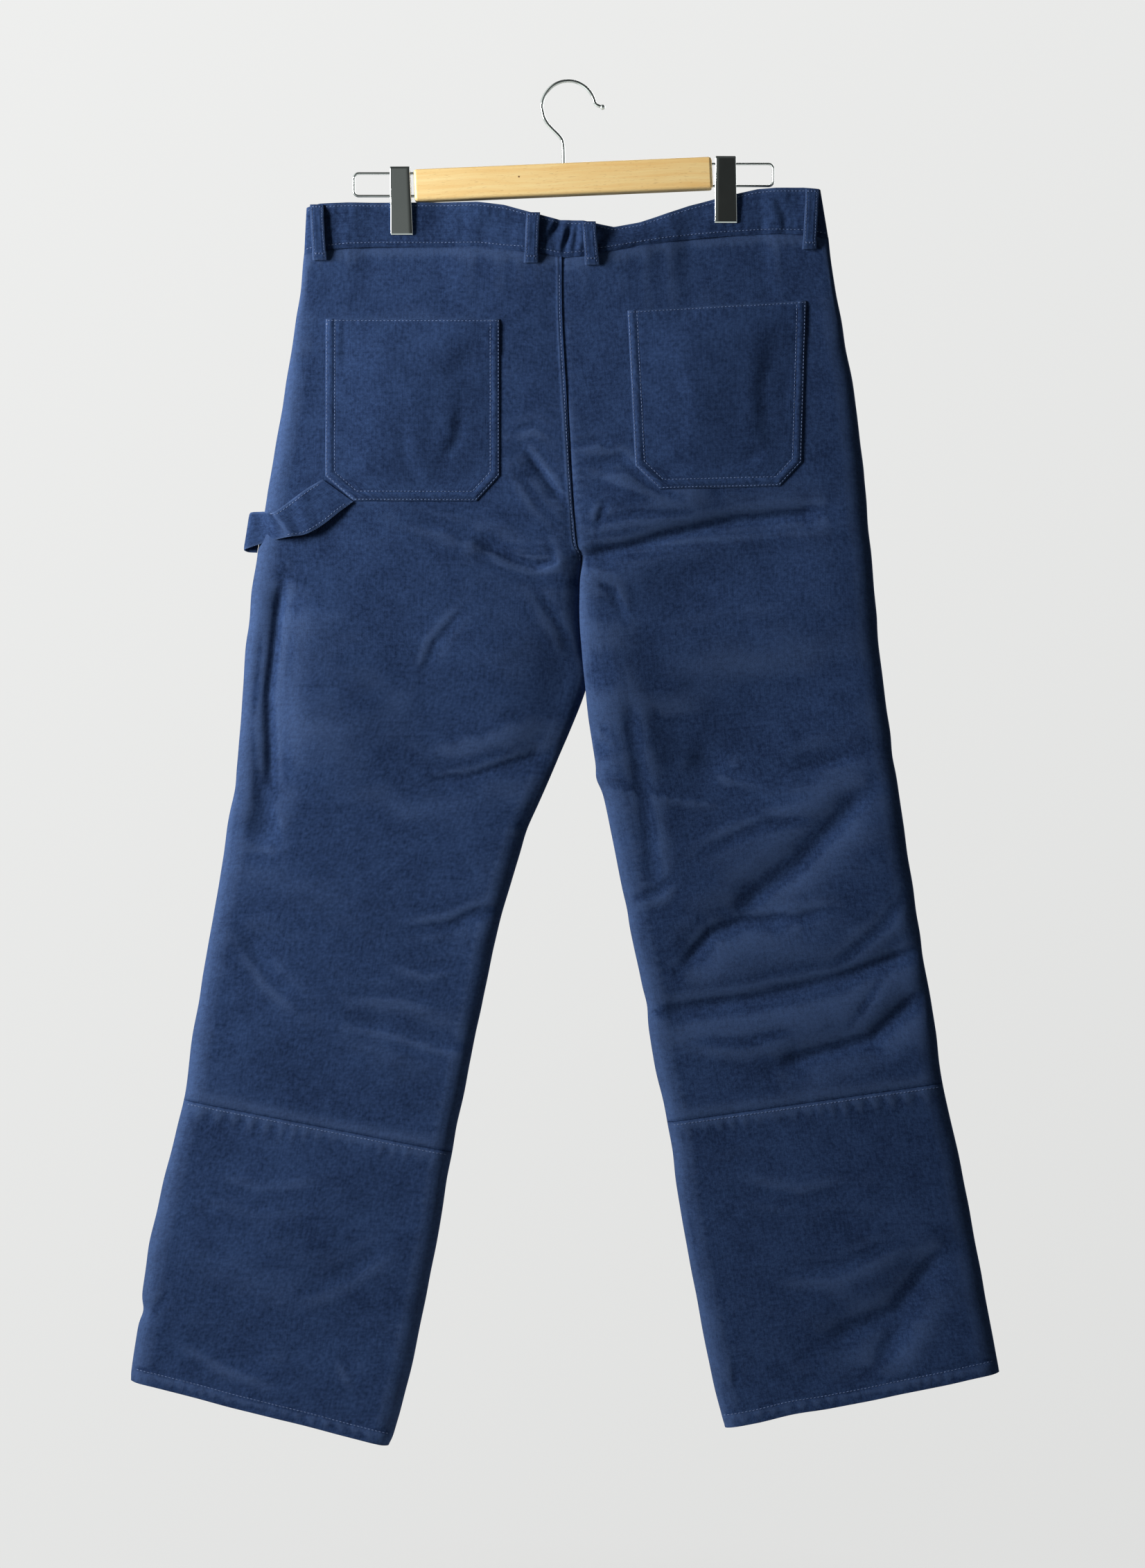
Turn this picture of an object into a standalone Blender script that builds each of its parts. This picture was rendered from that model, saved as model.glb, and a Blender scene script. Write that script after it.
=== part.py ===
"""Straight work trousers hanging by the waistband from a wooden clip hanger.

The origin is the inside of the hook's top, where a rail carries the hanger. +Z is up.
The back of the trousers faces -Y, so +X is the wearer's right.
The tables are in millimetres. One outer surface is worked out for the whole garment, as rows
down the body and columns across each side, and every cloth piece is a wall cut from it.
"""

import math
from collections import namedtuple

import bmesh
import bpy
import numpy as np
from mathutils import Vector
from mathutils.bvhtree import BVHTree

MM = 0.001

# Cloth
CLOTH_WALL = 1.4
BAND_WALL = 2.2
PATCH_WALL = 1.2
STRAP_WALL = 1.8
SEAM_PULL = 0.2          # each panel's edge stops this far short of the seam line
LAY_GAP = 0.35           # what lies on a panel floats this far off it
LAP_GAP = 0.9            # the waistband's lapped end bridges the bends under it
LEG_APART = 0.35         # half the gap between the two inner legs at the crotch
LEG_LAP_REACH = 1.5      # below it the right leg's edge lies this far over the seam line
LEG_LAP_RISE = 4.5       # and this far out, while the left leg's edge drops as far back
LEG_LAP_TOP = -440
LEG_LAP_FOOT = -560
LEG_LAP_GROWS_OVER = 30.0
LEG_LAP_FADES_OVER = 60.0
LEG_LAP_CROWDING = 8     # a high power keeps the lap close to the inner edge
EDGE_ROUND = 3.5         # radius of the fold along the side and the inseam
EDGE_POWER = 6
HALF_COLUMNS = 7
COLUMN_CROWDING = 1.8    # above 1, columns crowd towards both edges
FRONT_COLUMNS = (0, 1, 3, 5, 6, 7, 9, 11, 13, 14)
BAND_BLEND = 90.0        # the pinch of the clips fades out this far below the waist seam
SAG_BLEND = 55.0         # and so does the sag of the waist seam
FOLDS_START_BELOW = 50.0
FRONT_LEAN_SHARE = 0.75  # the front of the waistband leans back less than the back does

# The body above the parting of the legs: both sides share the centre seam.
Hip = namedtuple("Hip", "name steps left_x left_z centre_x centre_z right_x right_z depth shut")
HIPS = (
    Hip("waist seam", 2, -240, -155.5, -6, -159.5, 236, -141, 9, 0),
    Hip("pocket top", 3, -247, -215.5, -5.5, -217, 244.5, -198, 9.5, 0),
    Hip("pocket middle", 3, -259.5, -293.5, -1, -297, 260, -283, 11, 0),
    Hip("pocket corner", 1, -271, -359, 2.5, -357, 267.5, -343.5, 12, 0),
    Hip("pocket foot", 2, -274.5, -381.5, 4, -381, 269.5, -366, 12.5, 0),
    Hip("seat", 1, -280, -414, 7, -418, 273, -404, 13, 0),
    Hip("crotch curve", 1, -282, -425, 11, -428, 274.5, -417, 13, 0.45),
    Hip("crotch", 2, -283.5, -437, 12, -438, 276, -430, 13, 1),
    Hip("upper thigh", 1, -288.5, -470, 11.5, -485, 278.5, -460.5, 13, 1),
    Hip("low fork", 1, -291, -495, 13.5, -515, 280, -484, 13, 1),
    Hip("parting", 1, -294, -520.5, 16.3, -545, 282, -508, 13, 1),
)

# Each leg below the parting, from its outer edge to its inner edge
Leg = namedtuple("Leg", "name steps outer_x outer_z inner_x inner_z depth")
LEGS = {
    "left": (
        Leg("thigh", 2, -298, -589.5, -9, -613, 13),
        Leg("low thigh", 3, -306, -652.5, -39, -685.5, 13),
        Leg("knee", 3, -319, -737.5, -65.5, -775.5, 12.5),
        Leg("under knee", 2, -332.5, -816.5, -82.5, -857.5, 12),
        Leg("high calf", 2, -342.5, -873, -95, -919, 12),
        Leg("calf seam", 3, -349.5, -924, -106, -971.5, 12),
        Leg("shin", 3, -366.5, -993, -118.5, -1048.5, 12),
        Leg("low shin", 2, -382.5, -1065.5, -133.5, -1123.5, 12),
        Leg("ankle", 2, -389.5, -1115.5, -145, -1178.5, 12),
        Leg("hem stitch", 1, -397, -1166, -158, -1224.5, 12),
        Leg("hem", 1, -398, -1178.5, -164, -1238.5, 12),
    ),
    "right": (
        Leg("thigh", 2, 290, -572.5, 23.5, -610, 13),
        Leg("low thigh", 3, 298, -630.5, 36.5, -668.5, 13),
        Leg("knee", 3, 310.5, -715.5, 53, -753.5, 12.5),
        Leg("under knee", 2, 324, -799.5, 69.5, -834, 12),
        Leg("high calf", 2, 333.5, -862, 80, -898, 12),
        Leg("calf seam", 3, 340, -909, 90.5, -944.5, 12),
        Leg("shin", 3, 357, -985.5, 102.5, -1025.5, 12),
        Leg("low shin", 2, 369, -1051.5, 114.5, -1090.5, 12),
        Leg("ankle", 2, 380, -1109.5, 126.5, -1155, 12),
        Leg("hem stitch", 1, 390, -1161, 138.5, -1207, 12),
        Leg("hem", 1, 392, -1172, 142.5, -1221.5, 12),
    ),
}

# Each face of each leg is four walls, short enough for its hollow to stay open in collision.
# Only the one at the calf is a sewn seam.
Cut = namedtuple("Cut", "name top foot")
PANEL_CUTS = (
    Cut("hip", "waist seam", "crotch"),
    Cut("thigh", "crotch", "knee"),
    Cut("knee", "knee", "calf seam"),
    Cut("calf", "calf seam", "hem"),
)

# The waistband, from the wearer's left end to the right: it sags between the clips
Band = namedtuple("Band", "foot_x foot_z top_x top_z half_depth lean")
BANDS = (
    Band(-240, -155.5, -238, -114.5, 5, 0),
    Band(-227, -152.5, -225.5, -111, 5, 0),
    Band(-201, -150, -201, -110, 4.6, 0),
    Band(-178, -149, -178, -109.9, 2.5, 0),
    Band(-149, -148.8, -149, -109.7, 2.5, 0),
    Band(-120, -149, -120, -109.6, 2.5, 0),
    Band(-82, -149, -83, -109.5, 6, 0),
    Band(-56.5, -152, -58, -112.5, 8, 1),
    Band(-39.5, -153.5, -38.5, -118, 9, 2),
    Band(-26.5, -155, -25, -121.5, 9.5, 3),
    Band(-5, -159.5, -7.5, -126, 9, 4),
    Band(14, -158, 14, -126.5, 10, 5),
    Band(26.5, -155, 25, -128.5, 9.5, 7),
    Band(44, -152.5, 41.5, -131.5, 9, 9),
    Band(66, -148.5, 65, -127.5, 8, 6),
    Band(87, -145, 85.5, -121, 6, 2),
    Band(112, -141.8, 109, -113, 2.5, 0),
    Band(144, -139, 143, -104, 2.5, 0),
    Band(172, -137.3, 172, -97.5, 2.5, 0),
    Band(190, -137, 188, -96.5, 4.6, 0),
    Band(215.5, -138, 213, -96.5, 5, 0),
    Band(236, -141, 229, -98, 5, 0),
)
BAND_STEPS = 3

# Folds: a positive depth is a trough and a negative one a ridge
Fold = namedtuple("Fold", "name width depth line")
BACK_FOLDS = (
    Fold("left hip sag", 13, 3.5, ((-40, -334), (-11, -373), (-1, -386))),
    Fold("left crotch bow", 11, 3, ((-76, -421), (-47, -435), (-28, -440), (-13, -436))),
    Fold("left inner thigh", 14, 4, ((8, -486), (-25, -545))),
    Fold("left side drop", 11, 5, ((-257, -455), (-263, -490), (-270, -557), (-268, -620), (-280, -700))),
    Fold("left side drop ridge", 22, -3, ((-236, -450), (-240, -560), (-246, -640))),
    Fold("left thigh pull", 12, 3, ((-4, -604), (-52, -619), (-88, -631), (-134, -636))),
    Fold("left knee tuck", 10, 2, ((-59, -750), (-85, -755), (-108, -766))),
    Fold("left knee pull", 12, 3.5, ((-90, -878), (-111, -874), (-164, -857), (-204, -850))),
    Fold("left outer knee", 14, 2.5, ((-299, -766), (-269, -813))),
    Fold("left ankle", 16, 3, ((-352, -1133), (-263, -1175))),
    Fold("right seat ridge", 14, -2.5, ((26, -357), (88, -376), (140, -372))),
    Fold("right crotch pull", 13, 5, ((10, -432), (50, -424), (88, -413), (150, -401), (215, -399))),
    Fold("right thigh valley", 34, 5, ((84, -480), (92, -570), (88, -650), (76, -735))),
    Fold("right thigh nick", 12, 2.5, ((104, -610), (149, -629))),
    Fold("right side nick", 12, 2, ((268, -610), (198, -629))),
    Fold("right knee diagonal", 13, 3.5, ((149, -757), (210, -710), (275, -640))),
    Fold("right knee bow", 12, 3, ((100, -808), (130, -773), (158, -763), (210, -759))),
    Fold("right knee break", 13, 4.5, ((77, -845), (163, -833), (244, -815), (321, -787))),
    Fold("right outer break", 12, 3, ((186, -894), (275, -869), (326, -822))),
    Fold("right shin diagonal", 16, 3.5, ((226, -1146), (296, -1116), (343, -1057))),
    Fold("right ankle", 12, 2.5, ((307, -1120), (277, -1169))),
)
FRONT_FOLDS = (
    Fold("left groin", 14, 4, ((-10, -425), (-60, -395), (-130, -370), (-190, -345))),
    Fold("right groin", 14, 4, ((20, -425), (70, -392), (140, -362), (200, -340))),
    Fold("left thigh", 26, 4, ((-150, -470), (-165, -560), (-180, -660))),
    Fold("right thigh", 26, 4, ((140, -480), (160, -580), (185, -670))),
    Fold("left knee break", 14, 4, ((-95, -800), (-170, -820), (-250, -812), (-315, -780))),
    Fold("left low break", 13, 3, ((-130, -900), (-220, -905), (-320, -870))),
    Fold("right knee break", 14, 4, ((75, -790), (150, -812), (240, -800), (315, -765))),
    Fold("right low break", 13, 3, ((110, -905), (200, -900), (310, -860))),
    Fold("left ankle", 16, 3, ((-350, -1120), (-260, -1160), (-190, -1170))),
    Fold("right ankle", 16, 3, ((345, -1100), (270, -1140), (200, -1150))),
)

# Patch pockets, with their two lower corners cut off
Outline = namedtuple("Outline", "name side corners")
POCKETS = (
    Outline("pocket_left", "left",
            ((-220, -216), (-62, -216.5), (-62, -358.5), (-83, -381.5), (-194.5, -381.5), (-220, -359))),
    Outline("pocket_right", "right",
            ((53.5, -209), (216, -199.5), (211.5, -346.5), (191.5, -368), (82.5, -371), (60.5, -349.5))),
)
FLY = Outline("fly", "both", ((-42, -165), (2, -165), (2, -338), (-8, -338), (-32, -322), (-42, -300)))
BAND_LAP = Outline("waistband_lap", "both", ((-42, -110), (26, -110), (26, -154), (-5, -158), (-42, -152)))

# Belt loops: a strip from the band's top edge to just below the waist seam
Loop = namedtuple("Loop", "name face top_x top_z foot_x foot_z")
BELT_LOOPS = (
    Loop("belt_loop_left_side", "back", -228.3, -113, -225.2, -162),
    Loop("belt_loop_left_back", "back", -32, -120, -33.8, -165),
    Loop("belt_loop_right_back", "back", 18.3, -128, 21.6, -167),
    Loop("belt_loop_right_side", "back", 221, -98.5, 218.8, -152.3),
    Loop("belt_loop_left_front", "front", -100, -111, -101, -160),
    Loop("belt_loop_right_front", "front", 95, -119.5, 95, -157),
)
LOOP_WIDTH = 12.0
LOOP_STANDS_OFF = 1.6

# The hammer loop: a strap from the pocket's corner, out past the leg and back to its side seam
Strap = namedtuple("Strap", "upper_x upper_z lower_x lower_z stand_off y")
HAMMER_STRAP = (
    Strap(-224.6, -363.6, -196.8, -383.8, 0, None),
    Strap(-234, -369, -206, -391, 1.8, None),
    Strap(-249, -380, -221, -403, 2.6, None),
    Strap(-266, -392, -236, -411.5, 3.0, None),
    Strap(-273, -391.5, -255, -414.8, 3.2, None),
    Strap(-279, -391, -273, -418.5, 0, -9.0),
    Strap(-286.5, -391, -290, -423.5, 0, -6.5),
    Strap(-289.5, -392, -295, -425, 0, -2.4),
    Strap(-286, -394, -291, -427, 0, 0.8),
    Strap(-277.6, -396.5, -282.9, -427.5, 0, 1.2),
)

# The hanger
WIRE_RADIUS = 1.15
HOOK_RADIUS = 1.5
HOOK_BEND_RADIUS = 24.3
HOOK_MIDDLE_Z = -22.8
HOOK_STOP_ANGLE = 14
HOOK_NECK = ((-4.2, -90), (-4.3, -80), (-4.4, -66), (-4.7, -58), (-6.0, -52), (-9.5, -47.5),
             (-14.0, -43), (-19.0, -37.6), (-22.6, -31))
HOOK_LIP = ((24.2, -18.6), (25.6, -20.2), (27.6, -21.2), (29.2, -21.8), (31.2, -22.4), (32.7, -22.8))
HOOK_LIP_SCALES = (1, 1, 1, 1.55, 1.55, 0.7)
BAR_LENGTH = 271.0
BAR_HEIGHT = 29.2
BAR_THICKNESS = 15.0
BAR_MIDDLE = (-4.7, -88.6)
BAR_TILT = math.radians(2.45)
BAR_EDGE = 3.0
HOLE_CLEARANCE = 0.45
HOLE_DEPTH = 24.0
WIRE_IN_BAR = 22.0
HOOK_HOLE_FOOT = -91.5

Clip = namedtuple("Clip", "name bar_side top_from top_to foot_from foot_to top_z foot_z "
                          "wire_x wire_top_z wire_foot_z jaw_z")
CLIPS = (
    Clip("left", -1, -161.9, -143.9, -161.1, -141.0, -77.5, -139.2, -195.0, -82.7, -103.3, -108.8),
    Clip("right", 1, 133.6, 152.1, 132.7, 153.2, -68.0, -128.4, 186.3, -74.0, -94.1, -96.6),
)
CLIP_SHEET = 1.0
CLIP_FACE_TOP = 7.4
CLIP_FACE_FOOT = 5.8
BAND_PINCHED = 2.5        # half the waistband's depth between the jaws, as in BANDS
CLIP_HOLDS_WIRE = WIRE_RADIUS + LAY_GAP
CLIP_HOLDS_BAND = BAND_PINCHED + LAY_GAP
WIRE_CORNER = 4.5
BUTTON_RADIUS = 8.5
BUTTON_THICKNESS = 2.6
BUTTON_PLACE = (-8.0, -138.0)

# Finishes: colour, roughness and metallic value
NAVY = ("navy twill", (0.018, 0.038, 0.095), 0.88, 0.0)
NAVY_BACKING = ("navy twill strap", (0.016, 0.033, 0.085), 0.88, 0.0)
BEECH = ("lacquered beech", (0.80, 0.50, 0.21), 0.40, 0.0)
CHROME = ("bright chrome", (0.78, 0.80, 0.80), 0.12, 1.0)
HORN = ("dark button", (0.02, 0.025, 0.04), 0.35, 0.0)


def clear_scene():
    for item in list(bpy.data.objects):
        bpy.data.objects.remove(item, do_unlink=True)


def finish_material(finish):
    name, colour, roughness, metallic = finish
    material = bpy.data.materials.new(name)
    material.use_nodes = True
    shader = material.node_tree.nodes["Principled BSDF"]
    shader.inputs["Base Color"].default_value = (*colour, 1.0)
    shader.inputs["Roughness"].default_value = roughness
    shader.inputs["Metallic"].default_value = metallic
    return material


def add_mesh(name, points, faces, finish, smooth_angle=35):
    """Makes a mesh object from points in millimetres."""
    mesh = bpy.data.meshes.new(name)
    mesh.from_pydata([tuple(np.asarray(p, dtype=float) * MM) for p in points], [], faces)
    mesh.validate()
    mesh.shade_smooth()
    mesh.set_sharp_from_angle(angle=math.radians(smooth_angle))
    mesh.materials.append(finish_material(finish))
    item = bpy.data.objects.new(name, mesh)
    bpy.context.collection.objects.link(item)
    return item


# Smooth curves through table rows

def through(rows, steps):
    """Reads a smooth curve through rows of numbers, with the given steps after each row."""
    rows = np.asarray(rows, dtype=float)
    padded = np.vstack([2 * rows[0] - rows[1], rows, 2 * rows[-1] - rows[-2]])
    points = []
    for index, count in enumerate(steps):
        a, b, c, d = padded[index:index + 4]
        for step in range(count):
            t = step / count
            points.append(0.5 * (2 * b + (c - a) * t + (2 * a - 5 * b + 4 * c - d) * t * t
                                 + (3 * b - a - 3 * c + d) * t ** 3))
    points.append(rows[-1])
    return np.array(points)


def ease(t):
    t = np.clip(t, 0, 1)
    return t * t * (3 - 2 * t)


def eased_between(x, places, values):
    """Steps smoothly from value to value, level at each place."""
    places = np.asarray(places, dtype=float)
    values = np.asarray(values, dtype=float)
    x = np.clip(x, places[0], places[-1])
    index = np.clip(np.searchsorted(places, x) - 1, 0, len(places) - 2)
    t = ease((x - places[index]) / (places[index + 1] - places[index]))
    return values[index] * (1 - t) + values[index + 1] * t


def fold_depth(folds, x, z):
    total = np.zeros_like(x)
    for fold in folds:
        nearest = np.full_like(x, np.inf)
        for (x1, z1), (x2, z2) in zip(fold.line, fold.line[1:]):
            length = (x2 - x1) ** 2 + (z2 - z1) ** 2
            t = np.clip(((x - x1) * (x2 - x1) + (z - z1) * (z2 - z1)) / length, 0, 1)
            nearest = np.minimum(nearest, np.hypot(x - x1 - t * (x2 - x1), z - z1 - t * (z2 - z1)))
        total += fold.depth * np.exp(-(nearest / fold.width) ** 2)
    return total


# The garment's outer surface

def edge_rise(distance, depth):
    """How far the cloth has risen from a folded edge, as a share of its full depth."""
    reach = EDGE_POWER * depth ** 2 / (2 * np.minimum(EDGE_ROUND, 0.9 * depth))
    share = np.clip(distance / np.maximum(reach, 1), 0, 1)
    return np.sqrt(np.clip(1 - (1 - share) ** EDGE_POWER, 0, 1))


def rows_before(level_name):
    """Counts the surface rows from the waist seam down to a named level."""
    count = 0
    for level in HIPS + LEGS["left"]:
        if level.name == level_name:
            return count
        count += level.steps
    raise ValueError(level_name)


def side_rows(side):
    """Rows down one side: the outer edge, the inner edge, the half depth and how shut the tube is."""
    rows = []
    steps = []
    for hip in HIPS:
        outer = (hip.left_x, hip.left_z) if side == "left" else (hip.right_x, hip.right_z)
        rows.append((*outer, hip.centre_x, hip.centre_z, hip.depth, hip.shut))
        steps.append(hip.steps)
    for leg in LEGS[side]:
        rows.append((leg.outer_x, leg.outer_z, leg.inner_x, leg.inner_z, leg.depth, 1))
        steps.append(leg.steps)
    table = through(rows, steps[:-1])
    table[:, 5] = np.clip(table[:, 5], 0, 1)
    first_shut = rows_before("crotch")
    table[:first_shut - 1, 5] = 0
    table[first_shut:, 5] = 1
    return table


def columns_across():
    t = np.arange(-HALF_COLUMNS, HALF_COLUMNS + 1) / HALF_COLUMNS
    return np.sign(t) * (1 - (1 - np.abs(t)) ** COLUMN_CROWDING)


def band_value(x, field):
    return np.interp(x, [b.foot_x for b in BANDS], [getattr(b, field) for b in BANDS])


def side_surface(side, face):
    """Points of one side's back or front: rows from the waistband's top to the hem."""
    sign = -1 if face == "back" else 1
    folds = BACK_FOLDS if face == "back" else FRONT_FOLDS
    across = (columns_across()[None, :] + 1) / 2
    table = side_rows(side)
    outer_x, outer_z, inner_x, inner_z, depth, shut = (table[:, i][:, None] for i in range(6))
    towards_middle = 1 if side == "left" else -1
    lap = ease((LEG_LAP_TOP - inner_z) / LEG_LAP_GROWS_OVER)
    lap = lap * (1 - ease((LEG_LAP_FOOT - inner_z) / LEG_LAP_FADES_OVER))
    inner_x = inner_x - towards_middle * (LEG_APART * shut * (1 - lap) - LEG_LAP_REACH * lap)
    x = outer_x + (inner_x - outer_x) * across
    z = outer_z + (inner_z - outer_z) * across
    width = np.hypot(inner_x - outer_x, inner_z - outer_z)
    waist_x = x[0]
    waist_line = z[0].copy()
    below = waist_line[None, :] - z
    z = z + (band_value(waist_x, "foot_z") - waist_line)[None, :] * np.clip(1 - below / SAG_BLEND, 0, 1)
    pinch = eased_between(waist_x, [b.foot_x for b in BANDS], [b.half_depth for b in BANDS])
    full = pinch[None, :] + (depth - pinch[None, :]) * ease(below / BAND_BLEND)
    rise = edge_rise(across * width, full)
    inner_rise = 1 - shut + shut * edge_rise((1 - across) * width, full)
    dents = fold_depth(folds, x, z) * ease(below / FOLDS_START_BELOW)
    lift = towards_middle * LEG_LAP_RISE * lap * across ** LEG_LAP_CROWDING
    y = sign * (full - dents) * rise * inner_rise + lift
    leg_points = np.dstack([x, y, z])

    foot = leg_points[0]
    top_x = band_value(waist_x, "top_x")
    top_z = band_value(waist_x, "top_z")
    lean = band_value(waist_x, "lean") * (1 if face == "back" else FRONT_LEAN_SHARE)
    band_rows = []
    for step in range(BAND_STEPS, 0, -1):
        t = step / BAND_STEPS
        row = foot.copy()
        row[:, 0] = foot[:, 0] + (top_x - foot[:, 0]) * t
        row[:, 2] = foot[:, 2] + (top_z - foot[:, 2]) * t
        row[:, 1] = foot[:, 1] + lean * t * t
        band_rows.append(row)
    return np.concatenate([np.array(band_rows), leg_points])


def grid_normals(points):
    """Normals of a grid of points, with one-sided steps at its rims."""
    down = np.gradient(points, axis=0)
    over = np.gradient(points, axis=1)
    over[:, 0] = points[:, 1] - points[:, 0]
    over[:, -1] = points[:, -1] - points[:, -2]
    return unit(np.cross(over, down))


def unit(vectors):
    return vectors / np.maximum(np.linalg.norm(vectors, axis=-1, keepdims=True), 1e-9)


def garment():
    """All four surfaces with normals that agree along the seams."""
    surfaces = {}
    normals = {}
    for side in ("left", "right"):
        for face in ("back", "front"):
            points = side_surface(side, face)
            surfaces[side, face] = points
            facing = grid_normals(points)
            outward = -1 if face == "back" else 1
            inside_out = np.sign(facing[BAND_STEPS + 1, HALF_COLUMNS, 1]) != outward
            normals[side, face] = -facing if inside_out else facing
    first_shut = BAND_STEPS + rows_before("crotch")
    for side in ("left", "right"):
        shared = unit(normals[side, "back"][:, 0] + normals[side, "front"][:, 0])
        normals[side, "back"][:, 0] = shared
        normals[side, "front"][:, 0] = shared
        closed = unit(normals[side, "back"][first_shut:, -1] + normals[side, "front"][first_shut:, -1])
        normals[side, "back"][first_shut:, -1] = closed
        normals[side, "front"][first_shut:, -1] = closed
    for face in ("back", "front"):
        shared = unit(normals["left", face][:first_shut, -1] + normals["right", face][:first_shut, -1])
        normals["left", face][:first_shut, -1] = shared
        normals["right", face][:first_shut, -1] = shared
    return surfaces, normals


# Walls cut from the surface

def grid_triangles(rows, columns, flip, first_row=0):
    faces = []
    for row in range(rows - 1):
        for column in range(columns - 1):
            a = row * columns + column
            b = a + 1
            c = a + columns
            d = c + 1
            pair = ((a, c, b), (b, c, d)) if (first_row + row + column) % 2 else ((a, c, d), (a, d, b))
            faces.extend(pair if not flip else [face[::-1] for face in pair])
    return faces


def wall_between(name, outer, inner, faces, finish):
    """Closes a wall from an outer sheet, an inner sheet with the same faces, and rims."""
    count = len(outer)
    edges = [edge for face in faces for edge in zip(face, face[1:] + face[:1])]
    used = set(edges)
    rims = [(a, b) for a, b in edges if (b, a) not in used]
    solid = [tuple(face) for face in faces]
    solid += [tuple(index + count for index in reversed(face)) for face in faces]
    for a, b in rims:
        solid.append((b, a, a + count))
        solid.append((b, a + count, b + count))
    return add_mesh(name, list(outer) + list(inner), solid, finish)


def pulled(points, rows, columns, pull):
    """Moves a block's rim points back from the seam lines."""
    block = points[np.ix_(rows, columns)].copy()
    shift = np.zeros_like(block)
    if "outer" in pull:
        shift[:, 0] += SEAM_PULL * unit(block[:, 1] - block[:, 0])
    if "inner" in pull:
        shift[:, -1] += SEAM_PULL * unit(block[:, -2] - block[:, -1])
    if "top" in pull:
        shift[0] += SEAM_PULL * unit(block[1] - block[0])
    if "foot" in pull:
        shift[-1] += SEAM_PULL * unit(block[-2] - block[-1])
    return shift


def face_columns(face):
    """The columns that a face's sheet keeps: the front has fewer."""
    return list(range(2 * HALF_COLUMNS + 1)) if face == "back" else list(FRONT_COLUMNS)


def panel(surfaces, normals, side, face, cut):
    """One stretch of a leg's back or front, as a wall."""
    rows = list(range(BAND_STEPS + rows_before(cut.top), BAND_STEPS + rows_before(cut.foot) + 1))
    columns = face_columns(face)
    points = surfaces[side, face]
    pull = ("outer", "inner", "top") if cut.foot == "hem" else ("outer", "inner", "top", "foot")
    outer = points[np.ix_(rows, columns)] + pulled(points, rows, columns, pull)
    inner = outer - CLOTH_WALL * normals[side, face][np.ix_(rows, columns)]
    flip = (side == "left") == (face == "back")
    faces = grid_triangles(len(rows), len(columns), not flip, rows[0])
    name = "%s_%s_%s" % (face, side, cut.name)
    return wall_between(name, outer.reshape(-1, 3), inner.reshape(-1, 3), faces, NAVY)


def surface_sheet(surfaces, side, face, rows):
    """One side's sheet as loose points and triangles, for what lies on it."""
    block = surfaces[side, face][np.ix_(rows, face_columns(face))]
    flip = (side == "left") == (face == "back")
    return block.reshape(-1, 3), grid_triangles(block.shape[0], block.shape[1], not flip, rows[0])


def joined_sheets(sheets):
    points = []
    faces = []
    known = {}
    for sheet_points, sheet_faces in sheets:
        index = []
        for point in sheet_points:
            key = tuple(np.round(point, 3))
            if key not in known:
                known[key] = len(points)
                points.append(point)
            index.append(known[key])
        faces += [tuple(index[i] for i in face) for face in sheet_faces]
    return points, faces


def clipped_sheet(points, faces, corners):
    """Cuts a sheet to a convex outline seen along Y."""
    sheet = bmesh.new()
    verts = [sheet.verts.new(p) for p in points]
    for face in faces:
        sheet.faces.new([verts[i] for i in face])
    middle = np.mean(corners, axis=0)
    for (x1, z1), (x2, z2) in zip(corners, corners[1:] + corners[:1]):
        across = Vector((z2 - z1, 0, x1 - x2)).normalized()
        if across.dot(Vector((middle[0] - x1, 0, middle[1] - z1))) > 0:
            across = -across
        bmesh.ops.bisect_plane(sheet, geom=sheet.verts[:] + sheet.edges[:] + sheet.faces[:], dist=0.0005,
                               plane_co=(x1, 0, z1), plane_no=across, clear_outer=True)
    bmesh.ops.remove_doubles(sheet, verts=sheet.verts[:], dist=0.01)
    bmesh.ops.triangulate(sheet, faces=sheet.faces[:])
    sheet.verts.index_update()
    cut_points = np.array([v.co[:] for v in sheet.verts])
    cut_faces = [tuple(v.index for v in face.verts) for face in sheet.faces]
    sheet.free()
    return cut_points, cut_faces


def patch(name, points, faces, corners, outward, wall, gap=LAY_GAP, finish=NAVY):
    cut_points, cut_faces = clipped_sheet(points, faces, corners)
    inner = cut_points + np.array((0, outward * gap, 0))
    outer = cut_points + np.array((0, outward * (gap + wall), 0))
    return wall_between(name, outer, inner, cut_faces, finish)


def ribbon(name, uppers, lowers, wall, finish):
    """A flat strap through pairs of points, half its wall to each side of them."""
    uppers = np.asarray(uppers, dtype=float)
    lowers = np.asarray(lowers, dtype=float)
    along = np.gradient((uppers + lowers) / 2, axis=0)
    facing = unit(np.cross(along, uppers - lowers))
    rows = len(uppers)
    sheet = np.stack([uppers, lowers], axis=1)
    outer = sheet + facing[:, None] * wall / 2
    inner = sheet - facing[:, None] * wall / 2
    faces = grid_triangles(rows, 2, False)
    item = wall_between(name, outer.reshape(-1, 3), inner.reshape(-1, 3), faces, finish)
    face_outwards(item)
    return item


def face_outwards(item):
    shape = bmesh.new()
    shape.from_mesh(item.data)
    bmesh.ops.recalc_face_normals(shape, faces=shape.faces[:])
    shape.to_mesh(item.data)
    shape.free()


# Hanger pieces

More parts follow.
